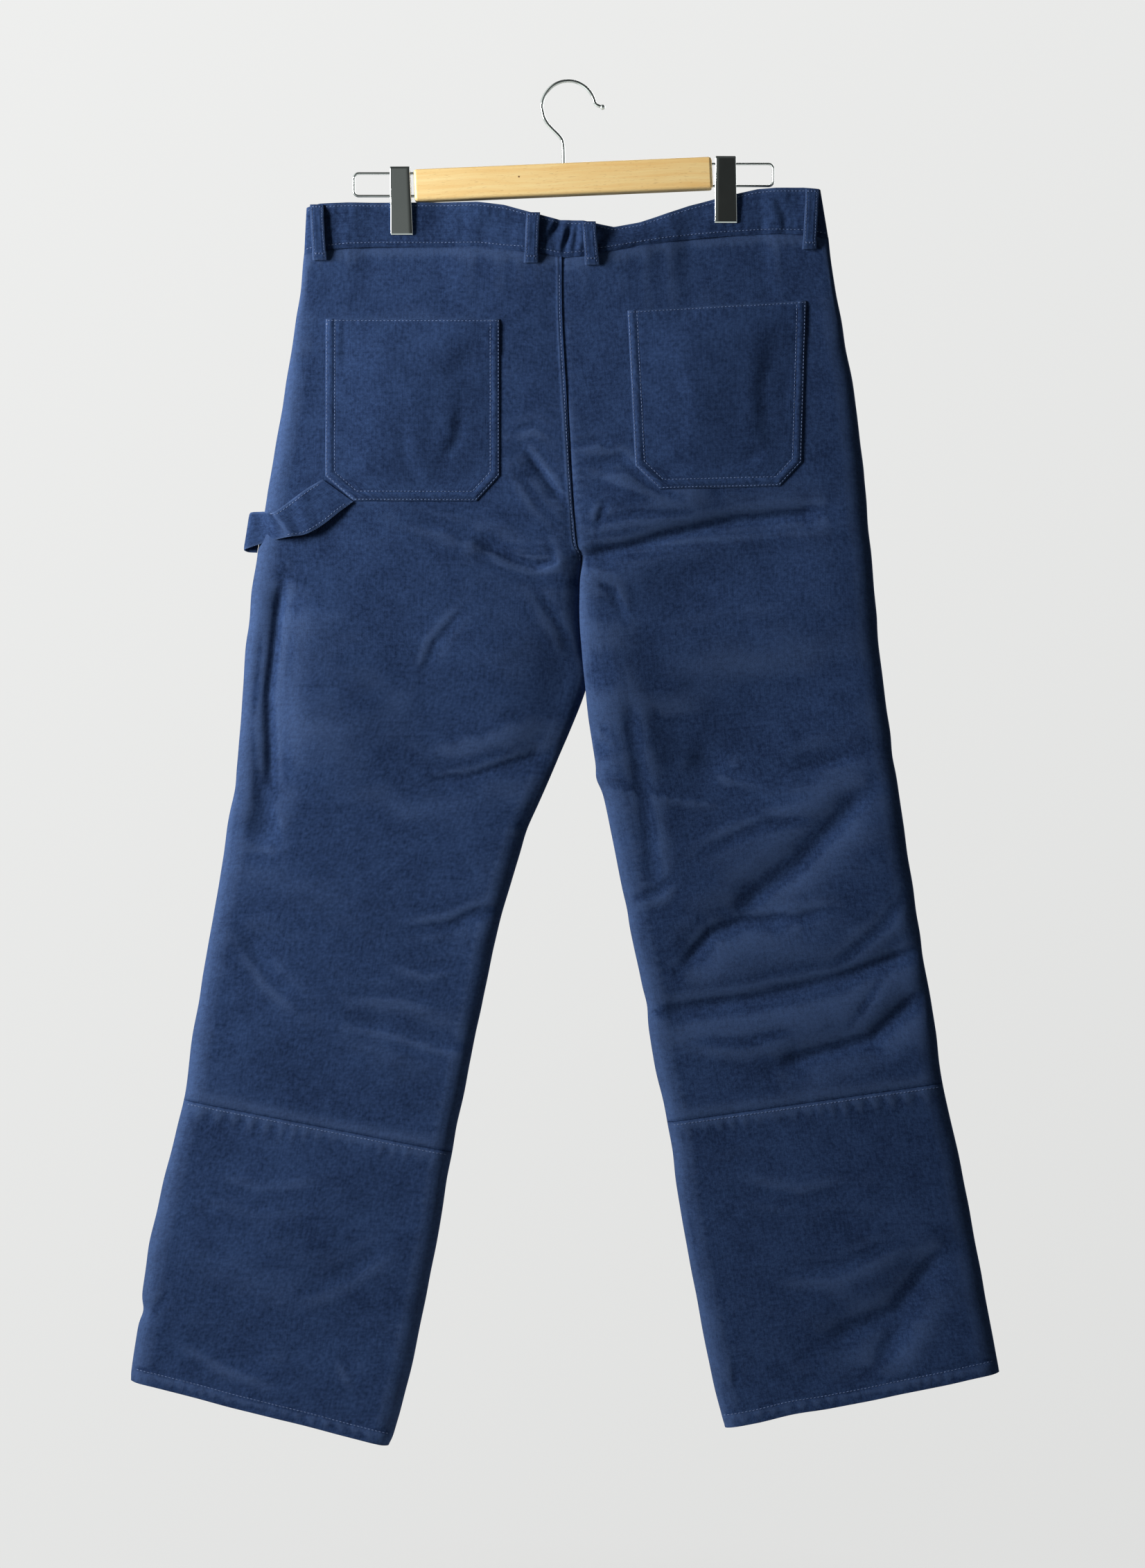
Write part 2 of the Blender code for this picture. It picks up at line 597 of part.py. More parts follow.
def tube(name, route, radius, scales=None, sides=2, finish=CHROME):
    """A wire along a route of points in the XZ plane."""
    curve = bpy.data.curves.new(name, "CURVE")
    curve.dimensions = "3D"
    curve.bevel_depth = radius * MM
    curve.bevel_resolution = sides
    curve.use_fill_caps = True
    spline = curve.splines.new("POLY")
    spline.points.add(len(route) - 1)
    for index, (x, z) in enumerate(route):
        spline.points[index].co = (x * MM, 0, z * MM, 1)
        spline.points[index].radius = 1 if scales is None else scales[index]
    spline.use_smooth = True
    curve.materials.append(finish_material(finish))
    item = bpy.data.objects.new(name, curve)
    bpy.context.collection.objects.link(item)
    return item


def hook():
    bend = []
    for angle in np.linspace(180, HOOK_STOP_ANGLE, 20):
        turn = math.radians(angle)
        bend.append((HOOK_BEND_RADIUS * math.cos(turn), HOOK_MIDDLE_Z + HOOK_BEND_RADIUS * math.sin(turn)))
    route = list(HOOK_NECK) + bend + list(HOOK_LIP)
    scales = [1] * (len(HOOK_NECK) + len(bend)) + list(HOOK_LIP_SCALES)
    return tube("hanger_hook", route, HOOK_RADIUS, scales)


def bar_end(side):
    reach = side * BAR_LENGTH / 2
    return BAR_MIDDLE[0] + reach * math.cos(BAR_TILT), BAR_MIDDLE[1] + reach * math.sin(BAR_TILT)


def wire_loop(clip):
    """The end wire: two runs out of the bar, joined by a rounded end."""
    side = clip.bar_side
    inside = bar_end(side)[0] - side * WIRE_IN_BAR
    corner = clip.wire_x - side * WIRE_CORNER
    route = [(inside, clip.wire_top_z), (corner, clip.wire_top_z)]
    for angle in (30, 60, 90):
        turn = math.radians(angle)
        route.append((corner + side * WIRE_CORNER * math.sin(turn),
                      clip.wire_top_z - WIRE_CORNER * (1 - math.cos(turn))))
    for angle in (90, 60, 30, 0):
        turn = math.radians(angle)
        route.append((corner + side * WIRE_CORNER * math.sin(turn),
                      clip.wire_foot_z + WIRE_CORNER * (1 - math.cos(turn))))
    route.append((inside, clip.wire_foot_z))
    return tube("hanger_wire_" + clip.name, route, WIRE_RADIUS)


def cutter(name, radius, start, end):
    """A hidden rod that drills the bar."""
    start = Vector((start[0], 0, start[1])) * MM
    end = Vector((end[0], 0, end[1])) * MM
    bpy.ops.mesh.primitive_cylinder_add(vertices=12, radius=radius * MM, depth=(end - start).length)
    rod = bpy.context.object
    rod.name = name
    rod.location = (start + end) / 2
    rod.rotation_euler = (end - start).to_track_quat("Z", "Y").to_euler()
    rod.hide_render = True
    rod.display_type = "WIRE"
    return rod


def bar():
    bpy.ops.mesh.primitive_cube_add(size=1)
    item = bpy.context.object
    item.name = "hanger_bar"
    item.data.name = "hanger_bar"
    for vertex in item.data.vertices:
        vertex.co = (vertex.co.x * BAR_LENGTH * MM, vertex.co.y * BAR_THICKNESS * MM,
                     vertex.co.z * BAR_HEIGHT * MM)
    item.location = (BAR_MIDDLE[0] * MM, 0, BAR_MIDDLE[1] * MM)
    item.rotation_euler = (0, -BAR_TILT, 0)
    bevel = item.modifiers.new("rounded edges", "BEVEL")
    bevel.width = BAR_EDGE * MM
    bevel.segments = 3
    bevel.limit_method = "ANGLE"
    rods = []
    for clip in CLIPS:
        end_x = bar_end(clip.bar_side)[0]
        for level, z in (("top", clip.wire_top_z), ("foot", clip.wire_foot_z)):
            rods.append(cutter("drill_%s_%s" % (clip.name, level), WIRE_RADIUS + HOLE_CLEARANCE,
                               (end_x + clip.bar_side * 5, z), (end_x - clip.bar_side * HOLE_DEPTH, z)))
    neck_x = HOOK_NECK[0][0]
    rods.append(cutter("drill_hook", HOOK_RADIUS + HOLE_CLEARANCE, (neck_x, -60), (neck_x, HOOK_HOLE_FOOT)))
    for rod in rods:
        cut = item.modifiers.new(rod.name, "BOOLEAN")
        cut.operation = "DIFFERENCE"
        cut.solver = "EXACT"
        cut.object = rod
    item.data.materials.append(finish_material(BEECH))
    return item


def clip_plate(clip, face):
    """A channel-shaped plate whose turned sides hold the wires above and the waistband below."""
    out = -1 if face == "back" else 1
    Station = namedtuple("Station", "z web tip")
    stations = (
        Station(clip.top_z, CLIP_FACE_TOP - 1.2, CLIP_HOLDS_WIRE + 2.4),
        Station(clip.top_z - 2.5, CLIP_FACE_TOP, CLIP_HOLDS_WIRE),
        Station(clip.jaw_z + 1.0, CLIP_FACE_TOP - 0.6, CLIP_HOLDS_WIRE),
        Station(clip.jaw_z - 1.0, CLIP_FACE_TOP - 0.7, CLIP_HOLDS_BAND),
        Station(clip.foot_z + 2.0, CLIP_FACE_FOOT, CLIP_HOLDS_BAND),
        Station(clip.foot_z, CLIP_FACE_FOOT - 0.8, CLIP_HOLDS_BAND),
    )
    points = []
    for station in stations:
        share = (clip.top_z - station.z) / (clip.top_z - clip.foot_z)
        left = clip.top_from + (clip.foot_from - clip.top_from) * share
        right = clip.top_to + (clip.foot_to - clip.top_to) * share
        web = station.web
        back_of_web = web - CLIP_SHEET
        outline = ((left, web), (left, station.tip), (left + CLIP_SHEET, station.tip),
                   (left + CLIP_SHEET, back_of_web), (right - CLIP_SHEET, back_of_web),
                   (right - CLIP_SHEET, station.tip), (right, station.tip), (right, web))
        points += [(x, out * y, station.z) for x, y in outline]
    faces = []
    around = 8
    for row in range(len(stations) - 1):
        for corner in range(around):
            a = row * around + corner
            b = row * around + (corner + 1) % around
            faces.append((a, b, b + around))
            faces.append((a, b + around, a + around))
    last = (len(stations) - 1) * around
    cap = ((0, 1, 2), (0, 2, 3), (0, 3, 4), (0, 4, 7), (7, 4, 5), (7, 5, 6))
    faces += [tuple(reversed(face)) for face in cap]
    faces += [tuple(last + i for i in face) for face in cap]
    item = add_mesh("clip_%s_%s" % (clip.name, face), points, faces, CHROME, 20)
    face_outwards(item)
    return item


# Trims that need the surface under them

def sheet_tree(points, faces):
    return BVHTree.FromPolygons([tuple(p) for p in points], faces)


def sheet_depth(tree, x, z, outward):
    """Where a line along Y first meets the sheet from outside."""
    hit = tree.ray_cast(Vector((x, outward * 100, z)), Vector((0, -outward, 0)))[0]
    return hit.y if hit else 0.0


def belt_loop(loop, tree):
    outward = -1 if loop.face == "back" else 1
    uppers = []
    lowers = []
    length = abs(loop.top_z - loop.foot_z)
    heights = ((0.6, 0), (4, 0.8), (0.3 * length, LOOP_STANDS_OFF), (0.55 * length, LOOP_STANDS_OFF),
               (0.8 * length, LOOP_STANDS_OFF), (length - 5, 0.7), (length, 0))
    for down, stand_off in heights:
        x = loop.top_x + (loop.foot_x - loop.top_x) * down / length
        z = loop.top_z - down
        probes = [sheet_depth(tree, x + dx, z + dz, outward)
                  for dx in (-6, -3, 0, 3, 6) for dz in (-1.5, 0, 1.5)]
        probes = [p for p in probes if p != 0.0]
        y = outward * (max(outward * p for p in probes) + LAY_GAP + stand_off + STRAP_WALL / 2)
        uppers.append((x - LOOP_WIDTH / 2, y, z))
        lowers.append((x + LOOP_WIDTH / 2, y, z))
    return ribbon(loop.name, uppers, lowers, STRAP_WALL, NAVY_BACKING)


def hammer_loop(tree):
    uppers = []
    lowers = []
    for row in HAMMER_STRAP:
        pair = []
        for x, z in ((row.upper_x, row.upper_z), (row.lower_x, row.lower_z)):
            y = row.y
            if y is None:
                lowest = min(sheet_depth(tree, x + dx, z + dz, -1) for dx in (-2, 0, 2) for dz in (-2, 0, 2))
                y = lowest - LAY_GAP - row.stand_off - STRAP_WALL / 2
            pair.append((x, y, z))
        uppers.append(pair[0])
        lowers.append(pair[1])
    return ribbon("hammer_loop", uppers, lowers, STRAP_WALL, NAVY_BACKING)


def button(tree):
    x, z = BUTTON_PLACE
    probes = [sheet_depth(tree, x + dx, z + dz, 1) for dx in (-9, 0, 9) for dz in (-9, 0, 9)]
    face = max(probes) + LAP_GAP + PATCH_WALL + LAY_GAP
    bpy.ops.mesh.primitive_cylinder_add(vertices=20, radius=BUTTON_RADIUS * MM, depth=BUTTON_THICKNESS * MM)
    item = bpy.context.object
    item.name = "waist_button"
    item.data.name = "waist_button"
    item.rotation_euler = (math.pi / 2, 0, 0)
    item.location = (x * MM, (face + BUTTON_THICKNESS / 2) * MM, z * MM)
    bevel = item.modifiers.new("rounded rim", "BEVEL")
    bevel.width = 0.7 * MM
    bevel.segments = 2
    bevel.limit_method = "ANGLE"
    item.data.materials.append(finish_material(HORN))
    return item


def waistband(surfaces, normals):
    """One strip all round the waist: it starts and ends at the centre front, under the lap."""
    rows = list(range(BAND_STEPS + 1))
    run = []
    run_normals = []
    order = (("left", "front", 1), ("left", "back", 0), ("right", "back", 1), ("right", "front", 0))
    for side, face, backwards in order:
        columns = face_columns(face)
        if backwards:
            columns = columns[::-1]
        if run:
            columns = columns[1:]
        run.append(surfaces[side, face][np.ix_(rows, columns)])
        run_normals.append(normals[side, face][np.ix_(rows, columns)])
    points = np.concatenate(run, axis=1)
    facing = np.concatenate(run_normals, axis=1)
    shift = pulled(points, rows, list(range(points.shape[1])), ("outer", "inner", "foot"))
    outer = points + shift
    inner = outer - BAND_WALL * facing
    faces = grid_triangles(len(rows), points.shape[1], False)
    item = wall_between("waistband", outer.reshape(-1, 3), inner.reshape(-1, 3), faces, NAVY)
    face_outwards(item)
    return item


def build():
    clear_scene()
    surfaces, normals = garment()
    last = surfaces["left", "back"].shape[0] - 1
    for side in ("left", "right"):
        for face in ("back", "front"):
            for cut in PANEL_CUTS:
                panel(surfaces, normals, side, face, cut)
    waistband(surfaces, normals)

    leg_rows = list(range(BAND_STEPS, last + 1))
    every_row = list(range(last + 1))
    for pocket in POCKETS:
        points, faces = surface_sheet(surfaces, pocket.side, "back", leg_rows)
        patch(pocket.name, points, faces, pocket.corners, -1, PATCH_WALL)
    front = joined_sheets([surface_sheet(surfaces, side, "front", every_row) for side in ("left", "right")])
    patch(FLY.name, *front, FLY.corners, 1, PATCH_WALL)
    patch(BAND_LAP.name, *front, BAND_LAP.corners, 1, PATCH_WALL, LAP_GAP)

    back_tree = sheet_tree(*joined_sheets([surface_sheet(surfaces, side, "back", every_row)
                                           for side in ("left", "right")]))
    front_tree = sheet_tree(*front)
    for loop in BELT_LOOPS:
        belt_loop(loop, back_tree if loop.face == "back" else front_tree)
    hammer_loop(back_tree)
    button(front_tree)

    hook()
    bar()
    for clip in CLIPS:
        wire_loop(clip)
        for face in ("back", "front"):
            clip_plate(clip, face)


build()
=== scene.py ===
# %% [markdown]
# # Straight work trousers on a wooden clip hanger
# The solids of the trousers and the hanger are already made and packed. This lesson loads them as
# a fixed frame and dresses them: fine cloth with folds and stitching, beech and chrome.
# Every length in the tables is in millimetres, and +Z is up. The back of the trousers faces -Y.

# %% Load the frame
import math
from collections import namedtuple

import bpy
import numpy as np
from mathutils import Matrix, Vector
from mathutils.bvhtree import BVHTree


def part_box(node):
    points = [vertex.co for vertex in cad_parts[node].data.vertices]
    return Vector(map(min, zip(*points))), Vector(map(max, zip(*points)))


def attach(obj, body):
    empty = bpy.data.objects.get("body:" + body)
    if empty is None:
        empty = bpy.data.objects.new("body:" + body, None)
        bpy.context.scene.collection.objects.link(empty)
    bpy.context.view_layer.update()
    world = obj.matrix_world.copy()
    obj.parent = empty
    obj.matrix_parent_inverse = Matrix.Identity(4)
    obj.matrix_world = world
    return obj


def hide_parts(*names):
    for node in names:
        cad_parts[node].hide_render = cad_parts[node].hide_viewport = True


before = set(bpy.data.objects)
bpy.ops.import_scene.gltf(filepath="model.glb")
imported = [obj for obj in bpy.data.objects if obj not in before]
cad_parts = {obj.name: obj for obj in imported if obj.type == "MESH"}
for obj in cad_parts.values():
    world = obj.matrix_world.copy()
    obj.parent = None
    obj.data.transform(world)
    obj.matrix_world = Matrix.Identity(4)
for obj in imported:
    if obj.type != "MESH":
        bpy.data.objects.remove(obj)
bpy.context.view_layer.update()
MM = 0.001
BODY = "root"
print("solids loaded:", len(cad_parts))

# %% [markdown]
# ## The camera
# The photograph looks straight at the trousers. Its long side covers 1425.7 mm at the cloth, which
# gives the lens once the distance is chosen. A far camera keeps the sides parallel, as in the photo.

# %% Camera
PHOTO_LONG_SIDE = 1425.7
CAMERA_DISTANCE = 3000.0
SENSOR = 36.0
VIEW_MIDDLE = (3.8, -637.8)


def place_camera():
    lens = bpy.data.cameras.new("photo camera")
    lens.sensor_width = SENSOR
    lens.lens = SENSOR * CAMERA_DISTANCE / PHOTO_LONG_SIDE
    lens.clip_end = 50
    camera = bpy.data.objects.new("photo camera", lens)
    bpy.context.scene.collection.objects.link(camera)
    camera.location = (VIEW_MIDDLE[0] * MM, -CAMERA_DISTANCE * MM, VIEW_MIDDLE[1] * MM)
    camera.rotation_euler = (math.pi / 2, 0, 0)
    bpy.context.scene.camera = camera
    print("lens in mm:", round(lens.lens, 1))


place_camera()

# %% [markdown]
# ## The cut of the trousers
# These tables say where the cloth lies, level by level. They are the same levels as the solids
# have, so the fine cloth made from them lies on its solid.

# %% Levels down the body and the legs
Hip = namedtuple("Hip", "name steps left_x left_z centre_x centre_z right_x right_z depth shut")
HIPS = (
    Hip("waist seam", 2, -240, -155.5, -6, -159.5, 236, -141, 9, 0),
    Hip("pocket top", 3, -247, -215.5, -5.5, -217, 244.5, -198, 9.5, 0),
    Hip("pocket middle", 3, -259.5, -293.5, -1, -297, 260, -283, 11, 0),
    Hip("pocket corner", 1, -271, -359, 2.5, -357, 267.5, -343.5, 12, 0),
    Hip("pocket foot", 2, -274.5, -381.5, 4, -381, 269.5, -366, 12.5, 0),
    Hip("seat", 1, -280, -414, 7, -418, 273, -404, 13, 0),
    Hip("crotch curve", 1, -282, -425, 11, -428, 274.5, -417, 13, 0.45),
    Hip("crotch", 2, -283.5, -437, 12, -438, 276, -430, 13, 1),
    Hip("upper thigh", 1, -288.5, -470, 11.5, -485, 278.5, -460.5, 13, 1),
    Hip("low fork", 1, -291, -495, 13.5, -515, 280, -484, 13, 1),
    Hip("parting", 1, -294, -520.5, 16.3, -545, 282, -508, 13, 1),
)

Leg = namedtuple("Leg", "name steps outer_x outer_z inner_x inner_z depth")
LEGS = {
    "left": (
        Leg("thigh", 2, -298, -589.5, -9, -613, 13),
        Leg("low thigh", 3, -306, -652.5, -39, -685.5, 13),
        Leg("knee", 3, -319, -737.5, -65.5, -775.5, 12.5),
        Leg("under knee", 2, -332.5, -816.5, -82.5, -857.5, 12),
        Leg("high calf", 2, -342.5, -873, -95, -919, 12),
        Leg("calf seam", 3, -349.5, -924, -106, -971.5, 12),
        Leg("shin", 3, -366.5, -993, -118.5, -1048.5, 12),
        Leg("low shin", 2, -382.5, -1065.5, -133.5, -1123.5, 12),
        Leg("ankle", 2, -389.5, -1115.5, -145, -1178.5, 12),
        Leg("hem stitch", 1, -397, -1166, -158, -1224.5, 12),
        Leg("hem", 1, -398, -1178.5, -164, -1238.5, 12),
    ),
    "right": (
        Leg("thigh", 2, 290, -572.5, 23.5, -610, 13),
        Leg("low thigh", 3, 298, -630.5, 36.5, -668.5, 13),
        Leg("knee", 3, 310.5, -715.5, 53, -753.5, 12.5),
        Leg("under knee", 2, 324, -799.5, 69.5, -834, 12),
        Leg("high calf", 2, 333.5, -862, 80, -898, 12),
        Leg("calf seam", 3, 340, -909, 90.5, -944.5, 12),
        Leg("shin", 3, 357, -985.5, 102.5, -1025.5, 12),
        Leg("low shin", 2, 369, -1051.5, 114.5, -1090.5, 12),
        Leg("ankle", 2, 380, -1109.5, 126.5, -1155, 12),
        Leg("hem stitch", 1, 390, -1161, 138.5, -1207, 12),
        Leg("hem", 1, 392, -1172, 142.5, -1221.5, 12),
    ),
}
SIDES = ("left", "right")
FACES = ("back", "front")

# %% The waistband, from the wearer's left end to the right
Band = namedtuple("Band", "foot_x foot_z top_x top_z half_depth lean")
BANDS = (
    Band(-240, -155.5, -238, -114.5, 5, 0),
    Band(-227, -152.5, -225.5, -111, 5, 0),
    Band(-201, -150, -201, -110, 4.6, 0),
    Band(-178, -149, -178, -109.9, 2.5, 0),
    Band(-149, -148.8, -149, -109.7, 2.5, 0),
    Band(-120, -149, -120, -109.6, 2.5, 0),
    Band(-82, -149, -83, -109.5, 6, 0),
    Band(-56.5, -152, -58, -112.5, 8, 1),
    Band(-39.5, -153.5, -38.5, -118, 9, 2),
    Band(-26.5, -155, -25, -121.5, 9.5, 3),
    Band(-5, -159.5, -7.5, -126, 9, 4),
    Band(14, -158, 14, -126.5, 10, 5),
    Band(26.5, -155, 25, -128.5, 9.5, 7),
    Band(44, -152.5, 41.5, -131.5, 9, 9),
    Band(66, -148.5, 65, -127.5, 8, 6),
    Band(87, -145, 85.5, -121, 6, 2),
    Band(112, -141.8, 109, -113, 2.5, 0),
    Band(144, -139, 143, -104, 2.5, 0),
    Band(172, -137.3, 172, -97.5, 2.5, 0),
    Band(190, -137, 188, -96.5, 4.6, 0),
    Band(215.5, -138, 213, -96.5, 5, 0),
    Band(236, -141, 229, -98, 5, 0),
)

# %% [markdown]
# ## The folds
# Cloth that hangs from two clips is pulled into soft troughs at the seat, the fork and the knees.
# A broad fold is a smooth dent along a line. A crease is finer and has a ridge beside its trough,
# on the right of the line as it is drawn for a positive ridge, and it dies away at both ends.

# %% Broad folds: a positive depth is a trough
Fold = namedtuple("Fold", "name width depth line")
BACK_FOLDS = (
    Fold("left hip sag", 9, 2.0, ((-40, -334), (-11, -373), (-1, -386))),
    Fold("left crotch bow", 10, 3, ((-90, -415), (-47, -435), (-28, -440), (-8, -436))),
    Fold("left inner thigh", 26, 5, ((14, -490), (6, -540), (-12, -606), (-36, -660))),
    Fold("left side drop", 11, 3.5, ((-257, -455), (-263, -490), (-270, -557), (-268, -620), (-280, -700))),
    Fold("left side drop ridge", 26, -1.4, ((-226, -450), (-230, -560), (-236, -640))),
    Fold("left thigh pull", 12, 1.2, ((-4, -604), (-52, -619), (-88, -631), (-134, -636))),
    Fold("left knee tuck", 10, 1, ((-59, -750), (-85, -755), (-108, -766))),
    Fold("left knee pull", 12, 1.6, ((-90, -878), (-111, -874), (-164, -857), (-204, -850))),
    Fold("left outer knee", 14, 1.5, ((-299, -766), (-269, -813))),
    Fold("left ankle", 16, 2, ((-352, -1133), (-263, -1175))),
    Fold("left pocket swell", 34, -3.0, ((-132, -235), (-150, -300), (-170, -375))),
    Fold("right pocket swell", 34, -2.6, ((118, -230), (112, -300), (100, -360))),
    Fold("left thigh swell", 46, -2.6, ((-190, -440), (-196, -560), (-214, -690))),
    Fold("left calf swell", 40, -2.0, ((-236, -990), (-262, -1080), (-280, -1150))),
    Fold("right seat ridge", 14, -2.0, ((26, -357), (88, -376), (140, -372))),
    Fold("right crotch pull", 10, 3.5, ((10, -432), (50, -424), (88, -413), (150, -399), (235, -390))),
    Fold("right seat hollow", 26, 4.0, ((50, -462), (110, -450), (180, -432), (240, -420))),
    Fold("right thigh valley", 60, 6.5, ((150, -500), (160, -570), (156, -660), (140, -720))),
    Fold("right thigh ridge", 20, -2.5, ((34, -470), (46, -560), (58, -650))),
    Fold("right thigh nick", 12, 2.5, ((104, -610), (149, -629))),
    Fold("right side nick", 12, 2, ((268, -610), (198, -629))),
    Fold("right knee diagonal", 13, 3.5, ((149, -757), (210, -710), (275, -640))),
    Fold("right knee bow", 12, 3, ((100, -808), (130, -773), (158, -763), (210, -759))),
    Fold("right knee break", 13, 3.2, ((77, -845), (163, -833), (244, -815), (321, -787))),
    Fold("right outer break", 12, 3, ((186, -894), (275, -869), (326, -822))),
    Fold("right shin diagonal", 16, 3.5, ((226, -1146), (296, -1116), (343, -1057))),
    Fold("right ankle", 12, 2.5, ((307, -1120), (277, -1169))),
)
FRONT_FOLDS = (
    Fold("left groin", 14, 4, ((-10, -425), (-60, -395), (-130, -370), (-190, -345))),
    Fold("right groin", 14, 4, ((20, -425), (70, -392), (140, -362), (200, -340))),
    Fold("left thigh", 26, 4, ((-150, -470), (-165, -560), (-180, -660))),
    Fold("right thigh", 26, 4, ((140, -480), (160, -580), (185, -670))),
    Fold("left knee break", 14, 4, ((-95, -800), (-170, -820), (-250, -812), (-315, -780))),
    Fold("left low break", 13, 3, ((-130, -900), (-220, -905), (-320, -870))),
    Fold("right knee break", 14, 4, ((75, -790), (150, -812), (240, -800), (315, -765))),
    Fold("right low break", 13, 3, ((110, -905), (200, -900), (310, -860))),
    Fold("left ankle", 16, 3, ((-350, -1120), (-260, -1160), (-190, -1170))),
    Fold("right ankle", 16, 3, ((345, -1100), (270, -1140), (200, -1150))),
)

# %% Fine creases
Crease = namedtuple("Crease", "width depth ridge line")
BACK_CREASES = (
    Crease(2.8, 1.9, -1.1, ((-42, -331), (-26, -352), (-11, -373), (-1, -386))),
    Crease(4.5, 0.8, 0.4, ((-48, -352), (-26, -385), (-10, -402))),
    Crease(3.4, 2.4, 1.4, ((-82, -419), (-47, -435), (-28, -440), (-13, -436), (-16, -423))),
    Crease(6.5, 1.0, 0.5, ((-150, -396), (-113, -404), (-60, -424), (-34, -438))),
    Crease(5.0, 0.9, 0.4, ((-30, -460), (-4, -500), (4, -530))),
    Crease(3.5, 1.3, 0.6, ((34, -382), (26, -405))),
    Crease(5.0, -1.2, -0.4, ((26, -357), (88, -376))),
    Crease(4.5, 1.9, -1.1, ((12, -430), (50, -424), (88, -413), (150, -399), (235, -390))),
    Crease(3.5, 1.0, 0.6, ((5, -331), (28, -327), (43, -336))),
    Crease(5.0, 1.3, -0.7, ((13, -348), (48, -343), (73, -368), (103, -379))),
    Crease(3.5, 0.9, 0.5, ((-52, -318), (-30, -312), (-12, -322))),
    Crease(4.0, 1.0, -0.6, ((16, -448), (40, -462), (52, -492))),
    Crease(4.0, 1.0, 0.5, ((-92, -478), (-120, -510), (-134, -546))),
    Crease(4.0, 0.9, 0.5, ((20, -402), (60, -394), (110, -392))),
    Crease(3.2, 1.5, 0.9, ((-4, -604), (-52, -619), (-88, -631), (-134, -636))),
    Crease(7.0, 0.9, 0.5, ((-128, -598), (-76, -588), (-30, -570))),
    Crease(3.0, 0.9, 0.4, ((-50, -673), (-37, -682))),
    Crease(4.0, 1.3, 0.7, ((-59, -750), (-85, -755), (-108, -766), (-150, -770))),
    Crease(4.0, 1.0, -0.5, ((-96, -800), (-130, -806), (-158, -796))),
    Crease(3.8, 1.5, -0.8, ((-90, -878), (-111, -874), (-164, -857), (-204, -850))),
    Crease(5.0, 1.0, -0.5, ((-112, -838), (-150, -828), (-196, -826))),
    Crease(6.0, 1.3, 0.6, ((-299, -766), (-269, -813), (-240, -838))),
    Crease(4.5, 2.6, 0.6, ((-268, -650), (-271, -557), (-262, -479), (-257, -448))),
    Crease(5.0, 1.0, 0.5, ((-280, -668), (-286, -586), (-277, -492))),
    Crease(5.0, 0.8, 0.5, ((-262, -700), (-276, -650), (-270, -600))),
    Crease(3.0, 0.9, 0.5, ((26, -582), (38, -595))),
    Crease(8.0, 2.0, -0.8, ((54, -556), (60, -600), (70, -655), (75, -700), (80, -738))),
    Crease(4.0, 1.6, 0.9, ((56, -743), (82, -736), (96, -722))),
    Crease(4.0, 1.3, 0.7, ((105, -610), (149, -629), (176, -634))),
    Crease(4.0, 1.1, -0.6, ((268, -610), (198, -629))),
    Crease(6.5, 1.4, 0.8, ((149, -757), (210, -710), (275, -640))),
    Crease(5.0, 1.2, -0.6, ((120, -700), (176, -676), (226, -668))),
    Crease(4.5, 1.9, -1.0, ((100, -808), (130, -773), (158, -763), (210, -759), (240, -752))),
    Crease(4.5, 2.0, 1.1, ((321, -787), (244, -815), (163, -833), (77, -845))),
    Crease(6.0, 1.3, 0.6, ((244, -801), (287, -766), (304, -740))),
    Crease(6.0, 1.3, 0.7, ((256, -857), (289, -810))),
    Crease(5.5, 1.8, -0.9, ((186, -894), (275, -869), (326, -822))),
    Crease(6.0, 0.9, 0.4, ((110, -870), (160, -872), (210, -860))),
    Crease(7.0, 1.4, -0.8, ((226, -1146), (296, -1116), (343, -1057))),
    Crease(6.0, 1.1, 0.6, ((307, -1120), (277, -1169))),
    Crease(4.0, 0.9, 0.4, ((151, -1158), (152, -1186))),
    Crease(7.0, 0.9, -0.5, ((150, -1004), (210, -1016), (260, -1004))),
    Crease(7.0, 1.0, 0.5, ((180, -1080), (240, -1078), (300, -1052))),
    Crease(6.5, 1.5, 0.8, ((-352, -1133), (-308, -1158), (-263, -1175))),
    Crease(5.0, 1.1, 0.5, ((-364, -1100), (-376, -1119))),
    Crease(8.0, 1.0, -0.5, ((-330, -1000), (-280, -1016), (-220, -1010))),
    Crease(8.0, 1.0, 0.6, ((-250, -1100), (-200, -1080), (-160, -1050))),
    Crease(5.0, 0.9, 0.5, ((-206, -1150), (-188, -1186))),
)
FRONT_CREASES = (
    Crease(5.0, 1.6, 0.8, ((-14, -425), (-60, -398), (-120, -376))),
    Crease(5.0, 1.4, 0.8, ((24, -424), (70, -395), (130, -368))),
    Crease(5.0, 1.3, -0.6, ((-20, -450), (-70, -440), (-120, -446))),
    Crease(5.0, 1.3, 0.6, ((28, -452), (80, -440), (140, -450))),
    Crease(5.0, 1.7, 0.9, ((-95, -800), (-170, -820), (-250, -812))),
    Crease(5.0, 1.3, -0.7, ((-120, -860), (-200, -870), (-300, -846))),
    Crease(5.0, 1.6, 0.9, ((300, -776), (230, -802), (150, -812))),
    Crease(5.0, 1.3, 0.7, ((100, -862), (190, -872), (280, -846))),
    Crease(6.0, 1.2, 0.6, ((-340, -1128), (-270, -1158), (-210, -1168))),
    Crease(6.0, 1.2, 0.6, ((330, -1108), (270, -1140), (210, -1150))),
)
